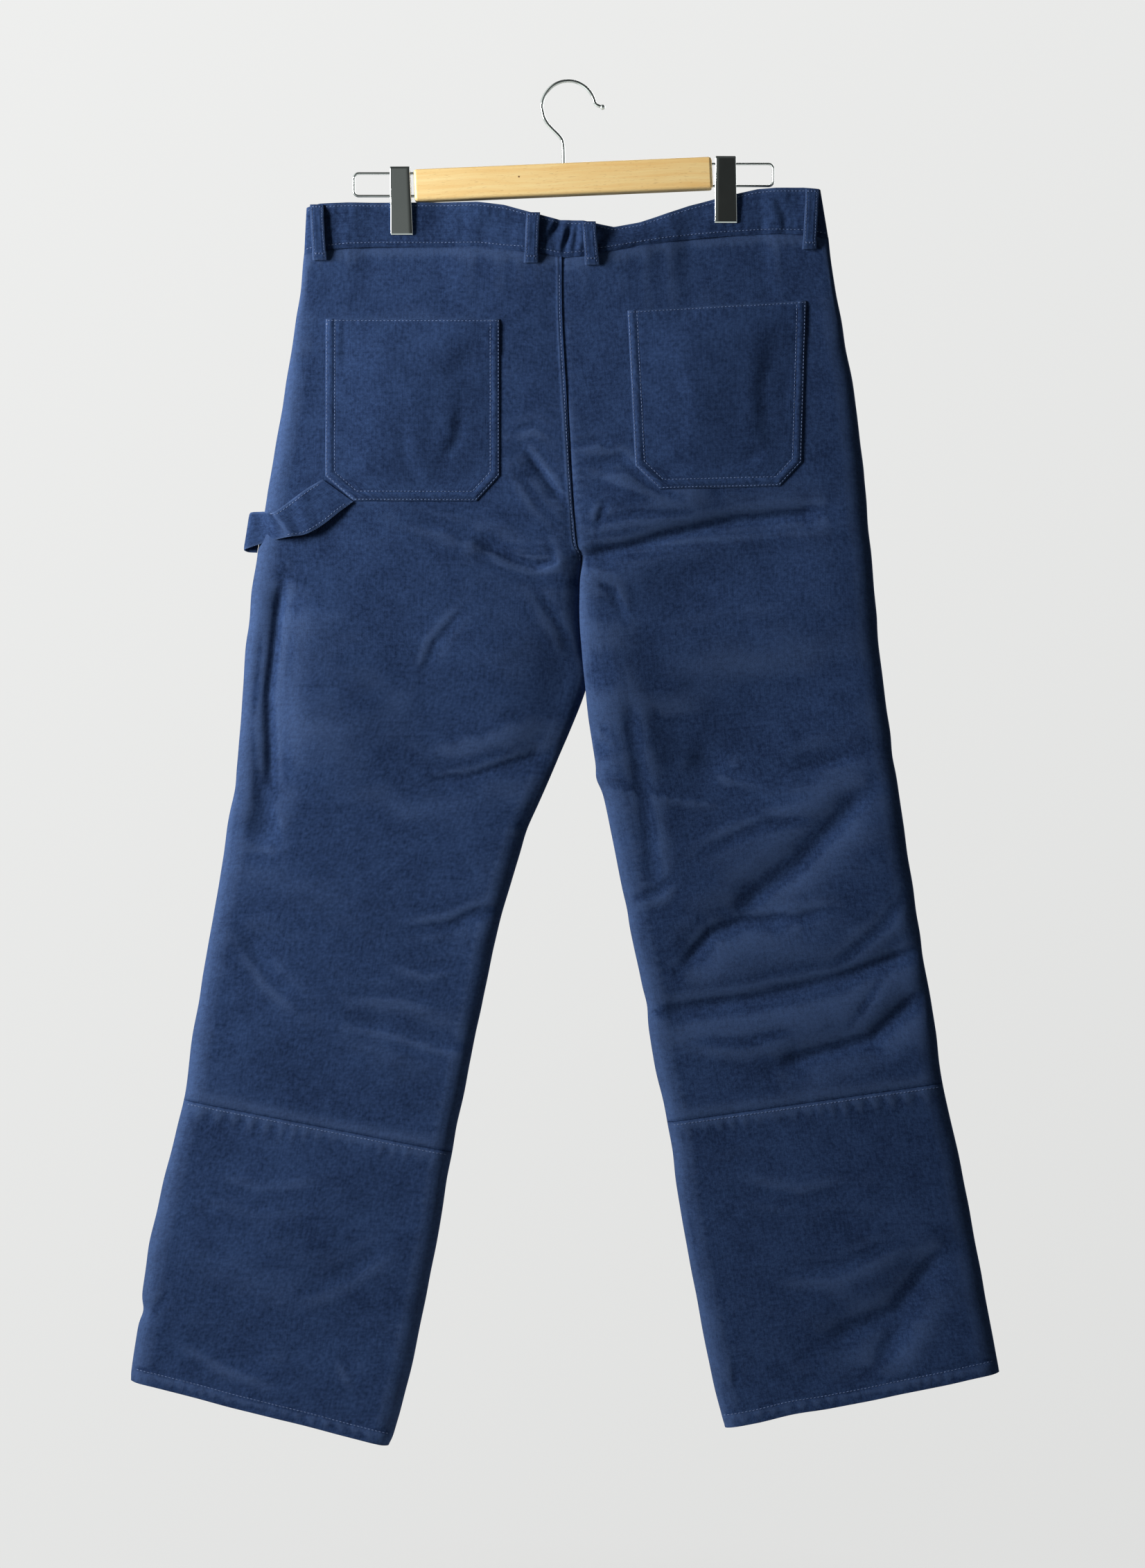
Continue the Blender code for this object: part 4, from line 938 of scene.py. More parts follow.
def spaced(line, spacing):
    """Points along a line of corners at an even spacing, with the direction at each."""
    line = np.asarray(line, dtype=float)
    lengths = np.linalg.norm(np.diff(line, axis=0), axis=1)
    reach = np.concatenate([[0], np.cumsum(lengths)])
    count = max(int(reach[-1] / spacing), 1)
    places = (np.arange(count) + 0.5) * reach[-1] / count
    points = np.stack([np.interp(places, reach, line[:, i]) for i in range(line.shape[1])], axis=1)
    ahead = np.stack([np.interp(np.minimum(places + 1, reach[-1]), reach, line[:, i])
                      for i in range(line.shape[1])], axis=1)
    behind = np.stack([np.interp(np.maximum(places - 1, 0), reach, line[:, i])
                       for i in range(line.shape[1])], axis=1)
    return points, unit(ahead - behind)


def sew(name, tree, sign, lines, spacing=STITCH_SPACING, length=STITCH_LENGTH, width=STITCH_WIDTH):
    """Rows of stitches on the cloth, along lines of x and z corners."""
    corners, faces = STITCH
    points = []
    directions = []
    for line in lines:
        places, heading = spaced(line, spacing)
        step = heading * 0.5 * length
        depth = dropped(tree, places[:, 0], places[:, 1], sign)
        before = dropped(tree, places[:, 0] - step[:, 0], places[:, 1] - step[:, 1], sign)
        after = dropped(tree, places[:, 0] + step[:, 0], places[:, 1] + step[:, 1], sign)
        found = (depth != 0) & (before != 0) & (after != 0) & (np.abs(after - before) < length)
        middle = np.stack([places[:, 0], (before + after) / 2, places[:, 1]], axis=1)
        along = np.stack([2 * step[:, 0], after - before, 2 * step[:, 1]], axis=1)
        points.append(middle[found])
        directions.append(unit(along)[found])
    points = np.concatenate(points)
    directions = np.concatenate(directions)
    out = np.array((0.0, sign, 0.0))
    sideways = unit(np.cross(directions, out))
    upwards = np.cross(sideways, directions)
    upwards = upwards * np.sign(upwards @ out)[:, None]
    shape = corners * np.array((length / 2, width / 2, STITCH_HEIGHT / 2))
    placed = (points[:, None] + out * 0.06
              + shape[None, :, 0:1] * directions[:, None]
              + shape[None, :, 1:2] * sideways[:, None]
              + shape[None, :, 2:3] * upwards[:, None]).reshape(-1, 3)
    every_face = [tuple(i + n * len(corners) for i in face) for n in range(len(points)) for face in faces]
    mesh = bpy.data.meshes.new(name)
    mesh.from_pydata([tuple(p) for p in placed * MM], [], every_face)
    mesh.shade_smooth()
    row = bpy.data.objects.new(name, mesh)
    bpy.context.scene.collection.objects.link(row)
    keep_only(row)
    bpy.ops.object.mode_set(mode="EDIT")
    bpy.ops.mesh.select_all(action="SELECT")
    bpy.ops.mesh.normals_make_consistent(inside=False)
    bpy.ops.object.mode_set(mode="OBJECT")
    mesh.materials.append(THREAD)
    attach(row, BODY)
    print(name, "has", len(points), "stitches")
    return row

# %% [markdown]
# ## The back and the front of the legs
# The back of each leg is two cuts, joined by a seam across the calf. The front is one cut from the
# waist to the hem. Their sizes on the flat are worked out from the levels, before any fold.

# %% Leg panels
BUTT = 0.15
CALF_ROW = rows_before("calf seam")


def flat_cut(side, first, last):
    """Greatest width, length and area in metres of a leg's cut between two fine rows."""
    table = side_rows(side)[first:last + 1]
    widths = np.hypot(table[:, 2] - table[:, 0], table[:, 3] - table[:, 1]) + EDGE_EXTRA
    middle = np.stack([table[:, 0] + table[:, 2], table[:, 1] + table[:, 3]], axis=1) / 2
    steps = np.linalg.norm(np.diff(middle, axis=0), axis=1)
    area = float(((widths[1:] + widths[:-1]) / 2 * steps).sum())
    width = float(widths.max())
    length = max(float(steps.sum()), area / width)
    return width * MM, length * MM, area * MM * MM


def leg_panel(name, sheet, first, last, nodes):
    points = sheet.points[first:last + 1].copy()
    points[0] += BUTT * unit(points[1] - points[0])
    if last < len(sheet.points) - 1:
        points[-1] += BUTT * unit(points[-2] - points[-1])
    uv = sheet.uv[first:last + 1]
    sign = -1 if sheet.face == "back" else 1
    wear = np.clip((bulges(points, sign) - 0.02) * 1.2, 0, 0.3)
    piece = make_sheet(name, points, uv, (0, sign, 0), TWILL, wear=wear)
    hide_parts(*nodes)
    return piece


PANELS = {}
for each_side in SIDES:
    back = SURFACES[each_side, "back"]
    front = SURFACES[each_side, "front"]
    nodes = ["back_%s_%s" % (each_side, part) for part in ("hip", "thigh", "knee")]
    PANELS["back", each_side] = leg_panel("leg_back_" + each_side, back, 0, CALF_ROW, nodes)
    PANELS["calf", each_side] = leg_panel("leg_calf_" + each_side, back, CALF_ROW, len(back.points) - 1,
                                          ["back_%s_calf" % each_side])
    nodes = ["front_%s_%s" % (each_side, part) for part in ("hip", "thigh", "knee", "calf")]
    PANELS["front", each_side] = leg_panel("leg_front_" + each_side, front, 0, len(front.points) - 1, nodes)
print("leg panels:", [p.name for p in PANELS.values()])

# %% [markdown]
# ## The waistband
# One strip runs round the waist, from the centre front and back to it. It stands a little proud of
# the legs, sags between the clips, and is gathered at the centre back.

# %% Waistband
BAND_PROUD = 0.9
BAND_THICKNESS = 2.2
BAND_OVERLAP = 1.2
BAND_ORDER = (("left", "front", True), ("left", "back", False), ("right", "back", True),
              ("right", "front", False))


def band_points(side, face):
    """The waistband's outer points over one sheet, from its top edge down past the waist seam."""
    sign = -1 if face == "back" else 1
    foot = SURFACES[side, face].points[0]
    waist_x = foot[:, 0]
    across = columns_across(face)
    depth = eased_between(waist_x, [b.foot_x for b in BANDS], [b.half_depth for b in BANDS])
    width = abs(waist_x[-1] - waist_x[0])
    plain = sign * depth * edge_rise(across * width, depth)
    lean = band_value(waist_x, "lean") * (1 if face == "back" else FRONT_LEAN_SHARE)
    rows = []
    for step in range(BAND_ROWS, -1, -1):
        t = step / BAND_ROWS
        x = waist_x + (band_value(waist_x, "top_x") - waist_x) * t
        z = foot[:, 2] + (band_value(waist_x, "top_z") - foot[:, 2]) * t
        z = z - BAND_OVERLAP * (1 - t) ** 4
        height = 1.0 * soft_noise(x, z, 40, 70, 61) + 0.7 * soft_noise(x - 0.3 * z, z, 14, 40, 62)
        if face == "back":
            height = height + crease_height(BAND_CREASES, x, z)
        away = (1 - t) * 40
        height = height - 0.35 * bell(away - SEAM_ROW, 1.3) + 0.3 * bell(away - 9, 6) * pucker(x, 63)
        height = height - 0.35 * bell(40 - away - SEAM_ROW, 1.3) - 1.1 * bell(40 - away, 1.3)
        height = height + 0.3 * bell(40 - away - 8, 5) * pucker(x, 64)
        still = ease((across * width - 0.5) / 6)
        y = plain + sign * BAND_PROUD * (0.25 + 0.75 * still) + sign * height * still + lean * t * t
        rows.append(np.stack([x, y, z], axis=1))
    return np.array(rows)


def band_run():
    runs = []
    for side, face, backwards in BAND_ORDER:
        part = band_points(side, face)
        if backwards:
            part = part[:, ::-1]
        if runs:
            joint = 0.5 * (runs[-1][:, -1] + part[:, 0])
            runs[-1][:, -1] = joint
            part = part[:, 1:]
        runs.append(part)
    return np.concatenate(runs, axis=1)


BAND_GRID = band_run()


def map_of(points, turned=False):
    """Places on the flat cloth, by the distances between the points."""
    over = np.linalg.norm(np.diff(points, axis=1), axis=2).mean(axis=0)
    down = np.linalg.norm(np.diff(points, axis=0), axis=2).mean(axis=1)
    u = np.concatenate([[0], np.cumsum(over)])[None, :]
    v = -np.concatenate([[0], np.cumsum(down)])[:, None]
    flat = np.dstack([u + 0 * v, v + 0 * u]) * MM
    return flat[..., ::-1] if turned else flat


def make_band():
    points = BAND_GRID
    crest = np.linspace(0, 1, len(points))[:, None]
    wear = 0.35 * bell(crest, 0.06) + 0 * points[..., 0]
    piece = make_sheet("waistband_cloth", points, map_of(points, True), None, TWILL, BAND_THICKNESS, wear)
    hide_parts("waistband")
    return piece


BAND = make_band()
BACK_TREE = tree_of(BAND_GRID, SURFACES["left", "back"].points, SURFACES["right", "back"].points)
FRONT_TREE = tree_of(BAND_GRID, SURFACES["left", "front"].points, SURFACES["right", "front"].points)
print("waistband length in mm:", round(float(np.linalg.norm(np.diff(BAND_GRID[-1], axis=0), axis=1).sum())))

# %% [markdown]
# ## Patches
# A pocket, the fly and the waistband's lapped end are flat patches sewn on. Each is a grid between
# a left and a right outline, dropped on the cloth under it and raised by a cloth's thickness.

# %% The patch maker
PATCH_THICKNESS = 1.0
PATCH_STEP = 2.0


def patch_grid(left, right, step=PATCH_STEP):
    """Rows of x and z between two outlines with the same number of corners."""
    left = np.asarray(left, dtype=float)
    right = np.asarray(right, dtype=float)
    rows_left = []
    rows_right = []
    for a, b, c, d in zip(left, left[1:], right, right[1:]):
        count = max(int(max(np.linalg.norm(b - a), np.linalg.norm(d - c)) / step), 1)
        for t in np.arange(count) / count:
            rows_left.append(a + (b - a) * t)
            rows_right.append(c + (d - c) * t)
    rows_left.append(left[-1])
    rows_right.append(right[-1])
    rows_left = np.array(rows_left)[:, None]
    rows_right = np.array(rows_right)[:, None]
    width = np.linalg.norm(rows_right - rows_left, axis=2).max()
    count = int(width / step)
    t = np.linspace(-1, 1, count + 1)
    t = ((np.sign(t) * (1 - (1 - np.abs(t)) ** 1.2) + 1) / 2)[None, :, None]
    return rows_left + (rows_right - rows_left) * t


def edge_distance(corners, x, z):
    """How far inside a convex outline each point lies."""
    middle = np.mean(corners, axis=0)
    nearest = np.full(x.shape, np.inf)
    for (x1, z1), (x2, z2) in zip(corners, corners[1:]):
        length = math.hypot(x2 - x1, z2 - z1)
        across = np.array((z2 - z1, x1 - x2)) / length
        if across @ (middle - np.array((x1, z1))) < 0:
            across = -across
        nearest = np.minimum(nearest, (x - x1) * across[0] + (z - z1) * across[1])
    return np.maximum(nearest, 0)


# %% [markdown]
# ## Back pockets
# Each patch pocket is sewn down its sides and round its cut corners with two rows of stitches, and
# the cloth between the rows is puckered. Its mouth is turned in, which shows as a line 33 mm down.

# %% Pockets
Pocket = namedtuple("Pocket", "side left right")
POCKETS = (
    Pocket("left", ((-220, -216), (-220, -359), (-194.5, -381.5)),
           ((-62, -216.5), (-62, -358.5), (-83, -381.5))),
    Pocket("right", ((53.5, -209), (60.5, -349.5), (82.5, -371)),
           ((216, -199.5), (211.5, -346.5), (191.5, -368))),
)
POCKET_LIFT = 1.6
POCKET_ROWS = (1.3, 8.6)
POCKET_FACING = 33.0
POCKET_BULGE = 2.6
POCKET_CREASES = (
    Crease(6, 1.2, 0.6, ((-96, -290), (-100, -325), (-118, -352))),
    Crease(9, 1.1, 0.5, ((-128, -270), (-96, -262), (-84, -240))),
    Crease(7, 0.9, -0.5, ((-150, -300), (-148, -345), (-130, -372))),
    Crease(5, 0.7, 0.4, ((-205, -226), (-203, -262))),
    Crease(8, 0.9, 0.5, ((188, -230), (176, -280), (182, -330))),
    Crease(8, 0.8, -0.4, ((92, -250), (104, -300), (96, -340))),
    Crease(6, 0.9, 0.5, ((120, -352), (160, -346), (190, -330))),
)


def sewn_outline(pocket):
    return [*pocket.left, *reversed(pocket.right)]


def pocket_height(x, z, corners, mouth):
    """Height of the pocket's outer face above the cloth under it."""
    inside = edge_distance(corners, x, z)
    along = x * 0.75 + z
    height = POCKET_LIFT - 0.9 * (1 - ease(inside / 0.9))
    for row in POCKET_ROWS:
        height = height - 0.5 * bell(inside - row, 1.0)
    height = height + 0.5 * bell(inside - 4.8, 2.6) * (1 + pucker(along, 71, 7.0))
    height = height + 0.3 * bell(inside - 12, 3.5) * pucker(along, 73, 8.0)
    height = height - 0.45 * bell(mouth - 1.6, 1.0) - 0.5 * (1 - ease(mouth / 0.8))
    height = height + 0.28 * bell(mouth - 6, 4) * pucker(x, 75)
    height = height + 0.45 * (1 - ease((mouth - POCKET_FACING) / 1.2)) - 0.3 * bell(mouth - POCKET_FACING, 1.6)
    height = height + POCKET_BULGE * ease((inside - 10) / 45) * ease(mouth / 40)
    return height + ease((inside - 9) / 8) * (crease_height(POCKET_CREASES, x, z)
                                              + 0.5 * soft_noise(x, z, 34, 40, 77))


def make_pocket(pocket):
    flat = patch_grid(pocket.left, pocket.right)
    x = flat[..., 0]
    z = flat[..., 1]
    outline = sewn_outline(pocket)
    (x1, z1), (x2, z2) = pocket.left[0], pocket.right[0]
    mouth = (z1 + (z2 - z1) * (x - x1) / (x2 - x1)) - z
    under = dropped(BACK_TREE, x, z, -1)
    height = pocket_height(x, z, outline, np.maximum(mouth, 0))
    points = np.dstack([x, under - height, z])
    inside = edge_distance(outline, x, z)
    wear = 0.55 * bell(inside - 0.4, 1.3) + 0.3 * bell(mouth - 0.4, 1.3)
    wear = wear * (0.6 + 0.5 * soft_noise(x, z, 22, 22, 79))
    wear = wear + 0.16 * bell(inside - 4.8, 3) * np.maximum(pucker(x * 0.75 + z, 71, 7.0), 0)
    name = "pocket_cloth_" + pocket.side
    piece = make_sheet(name, points, map_of(points), (0, -1, 0), TWILL, PATCH_THICKNESS, wear)
    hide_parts("pocket_" + pocket.side)
    return piece, points


def inset_outline(corners, distance):
    """An open outline moved inwards: each corner goes along the mean of its two edges' normals."""
    corners = np.asarray(corners, dtype=float)
    middle = corners.mean(axis=0)
    normals = []
    for a, b in zip(corners, corners[1:]):
        normal = unit(np.array((b[1] - a[1], a[0] - b[0])))
        normals.append(normal if normal @ (middle - a) > 0 else -normal)
    moved = [corners[0] + normals[0] * distance]
    for corner, one, other in zip(corners[1:], normals, normals[1:]):
        half = one + other
        moved.append(corner + half * distance * 2 / (half @ half))
    moved.append(corners[-1] + normals[-1] * distance)
    return np.array(moved)


PIECES = {}
STITCHES = {}
for pocket in POCKETS:
    piece, points = make_pocket(pocket)
    PIECES["pocket", pocket.side] = piece
    outline = sewn_outline(pocket)
    rows = [inset_outline(outline, distance) for distance in POCKET_ROWS]
    (x1, z1), (x2, z2) = pocket.left[0], pocket.right[0]
    mouth_row = [(x1 + 1.5, z1 - 1.6), (x2 - 1.5, z2 - 1.6)]
    tacks = [[(x + d, z + 1), (x + d, z - 7)] for x, z in (pocket.left[0], pocket.right[0])
             for d in ((0.9, 1.7) if x == x1 else (-0.9, -1.7))]
    STITCHES["pocket", pocket.side] = sew("stitches_pocket_" + pocket.side, tree_of(points), -1,
                                          [*rows, mouth_row, *tacks])

# %% [markdown]
# ## Rows of stitching on the legs and the waistband
# The centre seam, the calf seams, the hems and both edges of the waistband are topstitched.

# %% Seam rows


def line_of(sheet, row_from_foot=None, row_from_top=None, skip=1.0):
    """A line of x and z at a distance from the sheet's foot or top."""
    points = sheet[:, :, ::2]
    steps = np.linalg.norm(np.diff(points, axis=0), axis=2)
    down = np.vstack([np.zeros(points.shape[1]), np.cumsum(steps, axis=0)])
    line = []
    for column in range(points.shape[1]):
        wanted = row_from_top if row_from_top is not None else down[-1, column] - row_from_foot
        x = np.interp(wanted, down[:, column], points[:, column, 0])
        z = np.interp(wanted, down[:, column], points[:, column, 1])
        line.append((x, z))
    line = np.array(line)
    middle = line[:, 0].mean()
    return np.array([p for p in line if abs(p[0] - middle) < abs(line[0, 0] - middle) - skip])


HEM_ROW = HEM_TURN
for side in SIDES:
    back = SURFACES[side, "back"].points
    front = SURFACES[side, "front"].points
    calf = back[CALF_ROW:]
    STITCHES["calf", side] = sew("stitches_calf_" + side, tree_of(calf), -1,
                                 [line_of(calf, row_from_top=SEAM_ROW), line_of(calf, row_from_foot=HEM_ROW)])
    STITCHES["front", side] = sew("stitches_front_" + side, tree_of(front), 1,
                                  [line_of(front, row_from_foot=HEM_ROW)])
    seat = back[:rows_before("crotch"), -1]
    shift = -1.9 if side == "left" else 1.9
    lines = [np.stack([seat[6:, 0] + shift, seat[6:, 2]], axis=1)] if side == "left" else []
    if lines:
        STITCHES["back", side] = sew("stitches_back_" + side, tree_of(back), -1, lines)

band_back = tree_of(band_points("left", "back"), band_points("right", "back"))
band_front = tree_of(band_points("left", "front"), band_points("right", "front"))
for face, tree, sign in (("back", band_back, -1), ("front", band_front, 1)):
    rows = []
    for side in SIDES:
        points = band_points(side, face)
        rows.append(line_of(points, row_from_foot=SEAM_ROW + BAND_OVERLAP))
        rows.append(line_of(points, row_from_top=SEAM_ROW))
    STITCHES["band", face] = sew("stitches_band_" + face, tree, sign, rows)

# %% [markdown]
# ## Fly and waistband end
# On the front, the fly is a curved patch beside the centre seam, and the end of the waistband laps
# over it and buttons there. The photograph shows only the back, so these follow the usual cut.

# %% Fly and lap
FLY = (((-42, -165), (-42, -300), (-32, -322), (-8, -338)), ((2, -165), (2, -300), (2, -322), (2, -338)))
LAP_X = (-42, 26)
LAP_FOOT = ((-42, -152), (-5, -157.5), (26, -154))
LAP_BELOW_TOP = 1.0
FLY_LIFT = 1.3
LAP_LIFT = 3.2


def patch_edge_height(inside, x, z):
    return -0.8 * (1 - ease(inside / 0.9)) - 0.35 * bell(inside - 2.5, 1.0) + 0.2 * soft_noise(x, z, 20, 16, 81)


def lap_outline():
    """The lapped end's top and foot edges, drawn as two lines of points."""
    x = np.linspace(*LAP_X, 12)
    top = band_value(x, "top_z") - LAP_BELOW_TOP
    foot = np.interp(x, *zip(*LAP_FOOT))
    return list(zip(x, top)), list(zip(x, foot))


def make_patch(name, outline, lift, thickness, node):
    flat = patch_grid(*outline)
    x = flat[..., 0]
    z = flat[..., 1]
    closed = [*outline[0], *reversed(outline[1]), outline[0][0]]
    inside = edge_distance(closed, x, z)
    under = dropped(FRONT_TREE, x, z, 1)
    smooth = under.copy()
    for _ in range(8):
        smooth[1:-1, 1:-1] = 0.25 * (smooth[:-2, 1:-1] + smooth[2:, 1:-1] + smooth[1:-1, :-2] + smooth[1:-1, 2:])
    depth = np.maximum(under, smooth) + lift + patch_edge_height(inside, x, z)
    points = np.dstack([x, depth, z])
    piece = make_sheet(name, points, map_of(points), (0, 1, 0), TWILL, thickness, 0.4 * bell(inside, 1.5))
    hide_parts(node)
    return piece, points


PIECES["fly"], fly_points = make_patch("fly_cloth", FLY, FLY_LIFT, PATCH_THICKNESS, "fly")
PIECES["lap"], lap_points = make_patch("waistband_lap_cloth", lap_outline(), LAP_LIFT, 1.6,
                                       "waistband_lap")
fly_curve = [(-39.5, -163), (-39.5, -299), (-30.5, -319.5), (-7, -335)]
fly_inner = [(-33.5, -163), (-33.5, -296), (-27, -313.5), (-4, -328.5)]
STITCHES["fly"] = sew("stitches_fly", tree_of(fly_points), 1, [fly_curve, fly_inner])
lap_frame = [(-39.5, -121), (-20, -125.5), (23.5, -131), (23.5, -151.5), (-5, -154.8), (-39.5, -149.6),
             (-39.5, -121)]
STITCHES["lap"] = sew("stitches_lap", tree_of(lap_points), 1, [lap_frame])

# %% [markdown]
# ## Belt loops
# A belt loop is a folded strip, sewn down both long edges. Its ends are turned under and held by a
# bar tack, a short dense row of stitches, and its middle stands off the waistband for the belt.

# %% Belt loops
Loop = namedtuple("Loop", "name face top_x top_z foot_x foot_z")
BELT_LOOPS = (
    Loop("belt_loop_left_side", "back", -228.3, -112, -225.2, -162.5),
    Loop("belt_loop_left_back", "back", -32, -119.5, -33.8, -165.5),
    Loop("belt_loop_right_back", "back", 18.3, -127.5, 21.6, -167.5),
    Loop("belt_loop_right_side", "back", 221, -98, 218.8, -152.6),
    Loop("belt_loop_left_front", "front", -100, -110.5, -101, -160),
    Loop("belt_loop_right_front", "front", 95, -119, 95, -157),
)
LOOP_WIDTH = 12.4
LOOP_THICKNESS = 1.7
LOOP_LIFT = 1.9
LOOP_STANDS_OFF = 2.4
LOOP_FOOT_WIDER = 0.07
LOOP_COLUMNS = 13


def make_loop(loop, tree):
    sign = -1 if loop.face == "back" else 1
    length = math.hypot(loop.top_x - loop.foot_x, loop.top_z - loop.foot_z)
    downs = np.linspace(0, length, int(length / 1.1) + 1)
    centre_x = loop.top_x + (loop.foot_x - loop.top_x) * downs / length
    centre_z = loop.top_z + (loop.foot_z - loop.top_z) * downs / length
    across = np.linspace(-1, 1, LOOP_COLUMNS)
    wander = 0.35 * soft_noise(downs, downs * 0, 16, 1, int(abs(loop.top_x)))
    wide = 1 + 0.03 * wander + LOOP_FOOT_WIDER * ease((downs - (length - 9)) / 3)
    x = centre_x[:, None] + (across[None, :] * wide[:, None]) * LOOP_WIDTH / 2 + wander[:, None]
    z = np.repeat(centre_z[:, None], LOOP_COLUMNS, axis=1)
    under = sign * dropped(tree, x, z, sign)
    level = under.max(axis=1)
    for _ in range(14):
        level[1:-1] = np.maximum(level[1:-1], 0.5 * (level[:-2] + level[2:]))
    stand = LOOP_STANDS_OFF * ease(downs / 9) * ease((length - downs) / 9)
    fold = 0.7 * ease((downs - (length - 8)) / 1.2)
    inside = (1 - np.abs(across)) * LOOP_WIDTH / 2
    edge = -0.7 * (1 - ease(inside / 0.8)) - 0.3 * bell(inside - 1.9, 0.7) + 0.18 * bell(inside - 4, 1.6)
    ends = -0.6 * (1 - ease(downs / 1.0)) - 0.6 * (1 - ease((length - downs) / 1.0))
    ends = ends - 0.35 * bell(downs - 3, 1.2) - 0.35 * bell(length - downs - 6, 1.2)
    puffs = 0.16 * soft_noise(x, z, 5, 5, 83)
    height = (level + stand + fold + ends)[:, None] + LOOP_LIFT + edge[None, :] + puffs
    points = np.dstack([x, sign * height, z])
    wear = 0.75 * bell(inside - 0.5, 0.9)[None, :] + 0.35 * bell(length - downs, 1.5)[:, None]
    wear = wear * (0.7 + 0.5 * soft_noise(x, z, 6, 6, 85))
    piece = make_sheet(loop.name + "_strip", points, map_of(points), (0, sign, 0), STRAP_TWILL,
                       LOOP_THICKNESS, wear)
    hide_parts(loop.name)
    rows = [[(centre_x[2] + d, centre_z[2]), (centre_x[-3] + d, centre_z[-3])] for d in (-4.3, 4.3)]
    tacks = [[(centre_x[i] - 4.6, centre_z[i] + e), (centre_x[i] + 4.6, centre_z[i] + e)]
             for i in (2, -6) for e in (-0.45, 0.0, 0.45)]
    sewn = sew("stitches_" + loop.name, tree_of(points), sign, [*rows, *tacks], 2.7, 2.1, 0.5)
    return piece, sewn


for loop in BELT_LOOPS:
    tree = BACK_TREE if loop.face == "back" else FRONT_TREE
    PIECES[loop.name], STITCHES[loop.name] = make_loop(loop, tree)

# %% [markdown]
# ## The hammer loop
# A wide strap runs from the left pocket's cut corner to the side seam. It is folded over near the
# leg's edge and juts past it, so that a tool can hang in it.

# %% Hammer loop
Strap = namedtuple("Strap", "upper_x upper_z lower_x lower_z stand_off y")
HAMMER_STRAP = (
    Strap(-222.5, -362.2, -194.6, -382.4, 0.2, None),
    Strap(-234, -369, -206, -391, 2.6, None),
    Strap(-249, -380, -221, -403, 4.0, None),
    Strap(-266, -392, -236, -411.5, 4.2, None),
    Strap(-273, -391.5, -255, -414.8, 3.6, None),
    Strap(-279, -391, -273, -418.5, 0, -9.0),
    Strap(-286.5, -391, -290, -423.5, 0, -6.5),
    Strap(-289.5, -392, -295, -425, 0, -2.4),
    Strap(-286, -394, -291, -427, 0, 0.8),
    Strap(-277.6, -396.5, -282.9, -427.5, 0, 1.2),
)
STRAP_THICKNESS = 1.5
STRAP_LIFT = 1.6
STRAP_STEPS = 7
STRAP_COLUMNS = 25


def strap_spine():
    rows = []
    for strap in HAMMER_STRAP:
        row = []
        for x, z in ((strap.upper_x, strap.upper_z), (strap.lower_x, strap.lower_z)):
            y = strap.y
            if y is None:
                around = np.array([(x + dx, z + dz) for dx in (-3, 0, 3) for dz in (-3, 0, 3)], float)
                found = dropped(BACK_TREE, around[:, 0], around[:, 1], -1, 99.0)
                y = found.min() - STRAP_LIFT - strap.stand_off
            row += [x, y, z]
        rows.append(row)
    return through(rows, [STRAP_STEPS] * (len(rows) - 1))


def make_hammer_loop():
    spine = strap_spine()
    upper = spine[:, None, :3]
    lower = spine[:, None, 3:]
    t = np.linspace(0, 1, STRAP_COLUMNS)[None, :, None]
    points = upper + (lower - upper) * t
    facing = unit(np.cross(np.gradient(points, axis=0), np.gradient(points, axis=1)))
    facing = facing * np.sign(-facing[len(points) // 4, STRAP_COLUMNS // 2, 1])
    along = np.arange(len(points))[:, None] / STRAP_STEPS
    t = t[..., 0]
    inside = np.minimum(t, 1 - t) * 34
    puff = -0.7 * (1 - ease(inside / 0.9)) - 0.3 * bell(inside - 2.2, 0.9)
    puff = puff + 0.9 * bell(along - 1.6 - 1.2 * t, 0.35) - 0.8 * bell(along - 2.1 - 1.3 * t, 0.3)
    puff = puff + 0.8 * bell(along - 3.0 - 0.9 * t, 0.4) - 1.1 * bell(along - 3.55 - 0.5 * t, 0.22)
    puff = puff + 0.5 * bell(along - 4.2, 0.5) + 0.35 * soft_noise(40 * t, 20 * along, 14, 14, 91)
    fade = ease(along / 0.6) * ease((len(points) / STRAP_STEPS - 1 - along) / 1.5)
    points = points + facing * (puff * fade)[..., None]
    wear = 0.6 * bell(inside - 0.3, 1.2) + 0.3 * bell(along - 3.2 - 0.8 * t, 0.25)
    piece = make_sheet("hammer_loop_strap", points, map_of(points), (0, -1, 0), STRAP_TWILL,
                       STRAP_THICKNESS, wear, 60)
    keep_only(piece)
    bpy.ops.object.mode_set(mode="EDIT")
    bpy.ops.mesh.select_all(action="SELECT")
    bpy.ops.mesh.normals_make_consistent(inside=False)
    bpy.ops.object.mode_set(mode="OBJECT")
    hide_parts("hammer_loop")
    first = 3
    last = 4 * STRAP_STEPS
    rows = [points[first:last, c, ::2] for c in (2, STRAP_COLUMNS - 3)]
    sewn = sew("stitches_hammer_loop", tree_of(points[:last + 3]), -1, rows)
    return piece, sewn


PIECES["hammer_loop"], STITCHES["hammer_loop"] = make_hammer_loop()

# %% [markdown]
# ## The waist button
# A sewn button is a thick disc with a raised rim, a dished middle and four holes. It starts as a
# cylinder. Its front face is inset twice and pushed in, and small cylinders cut the holes.

# %% Button
BUTTON_RADIUS = 8.5
BUTTON_THICKNESS = 2.6
BUTTON_HOLE = 0.9
BUTTON_HOLE_OUT = 1.7


def select_faces(piece, test):
    """Selects a mesh's faces by a test of their middle and normal, in edit mode."""
    bpy.ops.object.mode_set(mode="OBJECT")
    for face in piece.data.polygons:
        face.select = bool(test(face.center, face.normal))
    bpy.ops.object.mode_set(mode="EDIT")


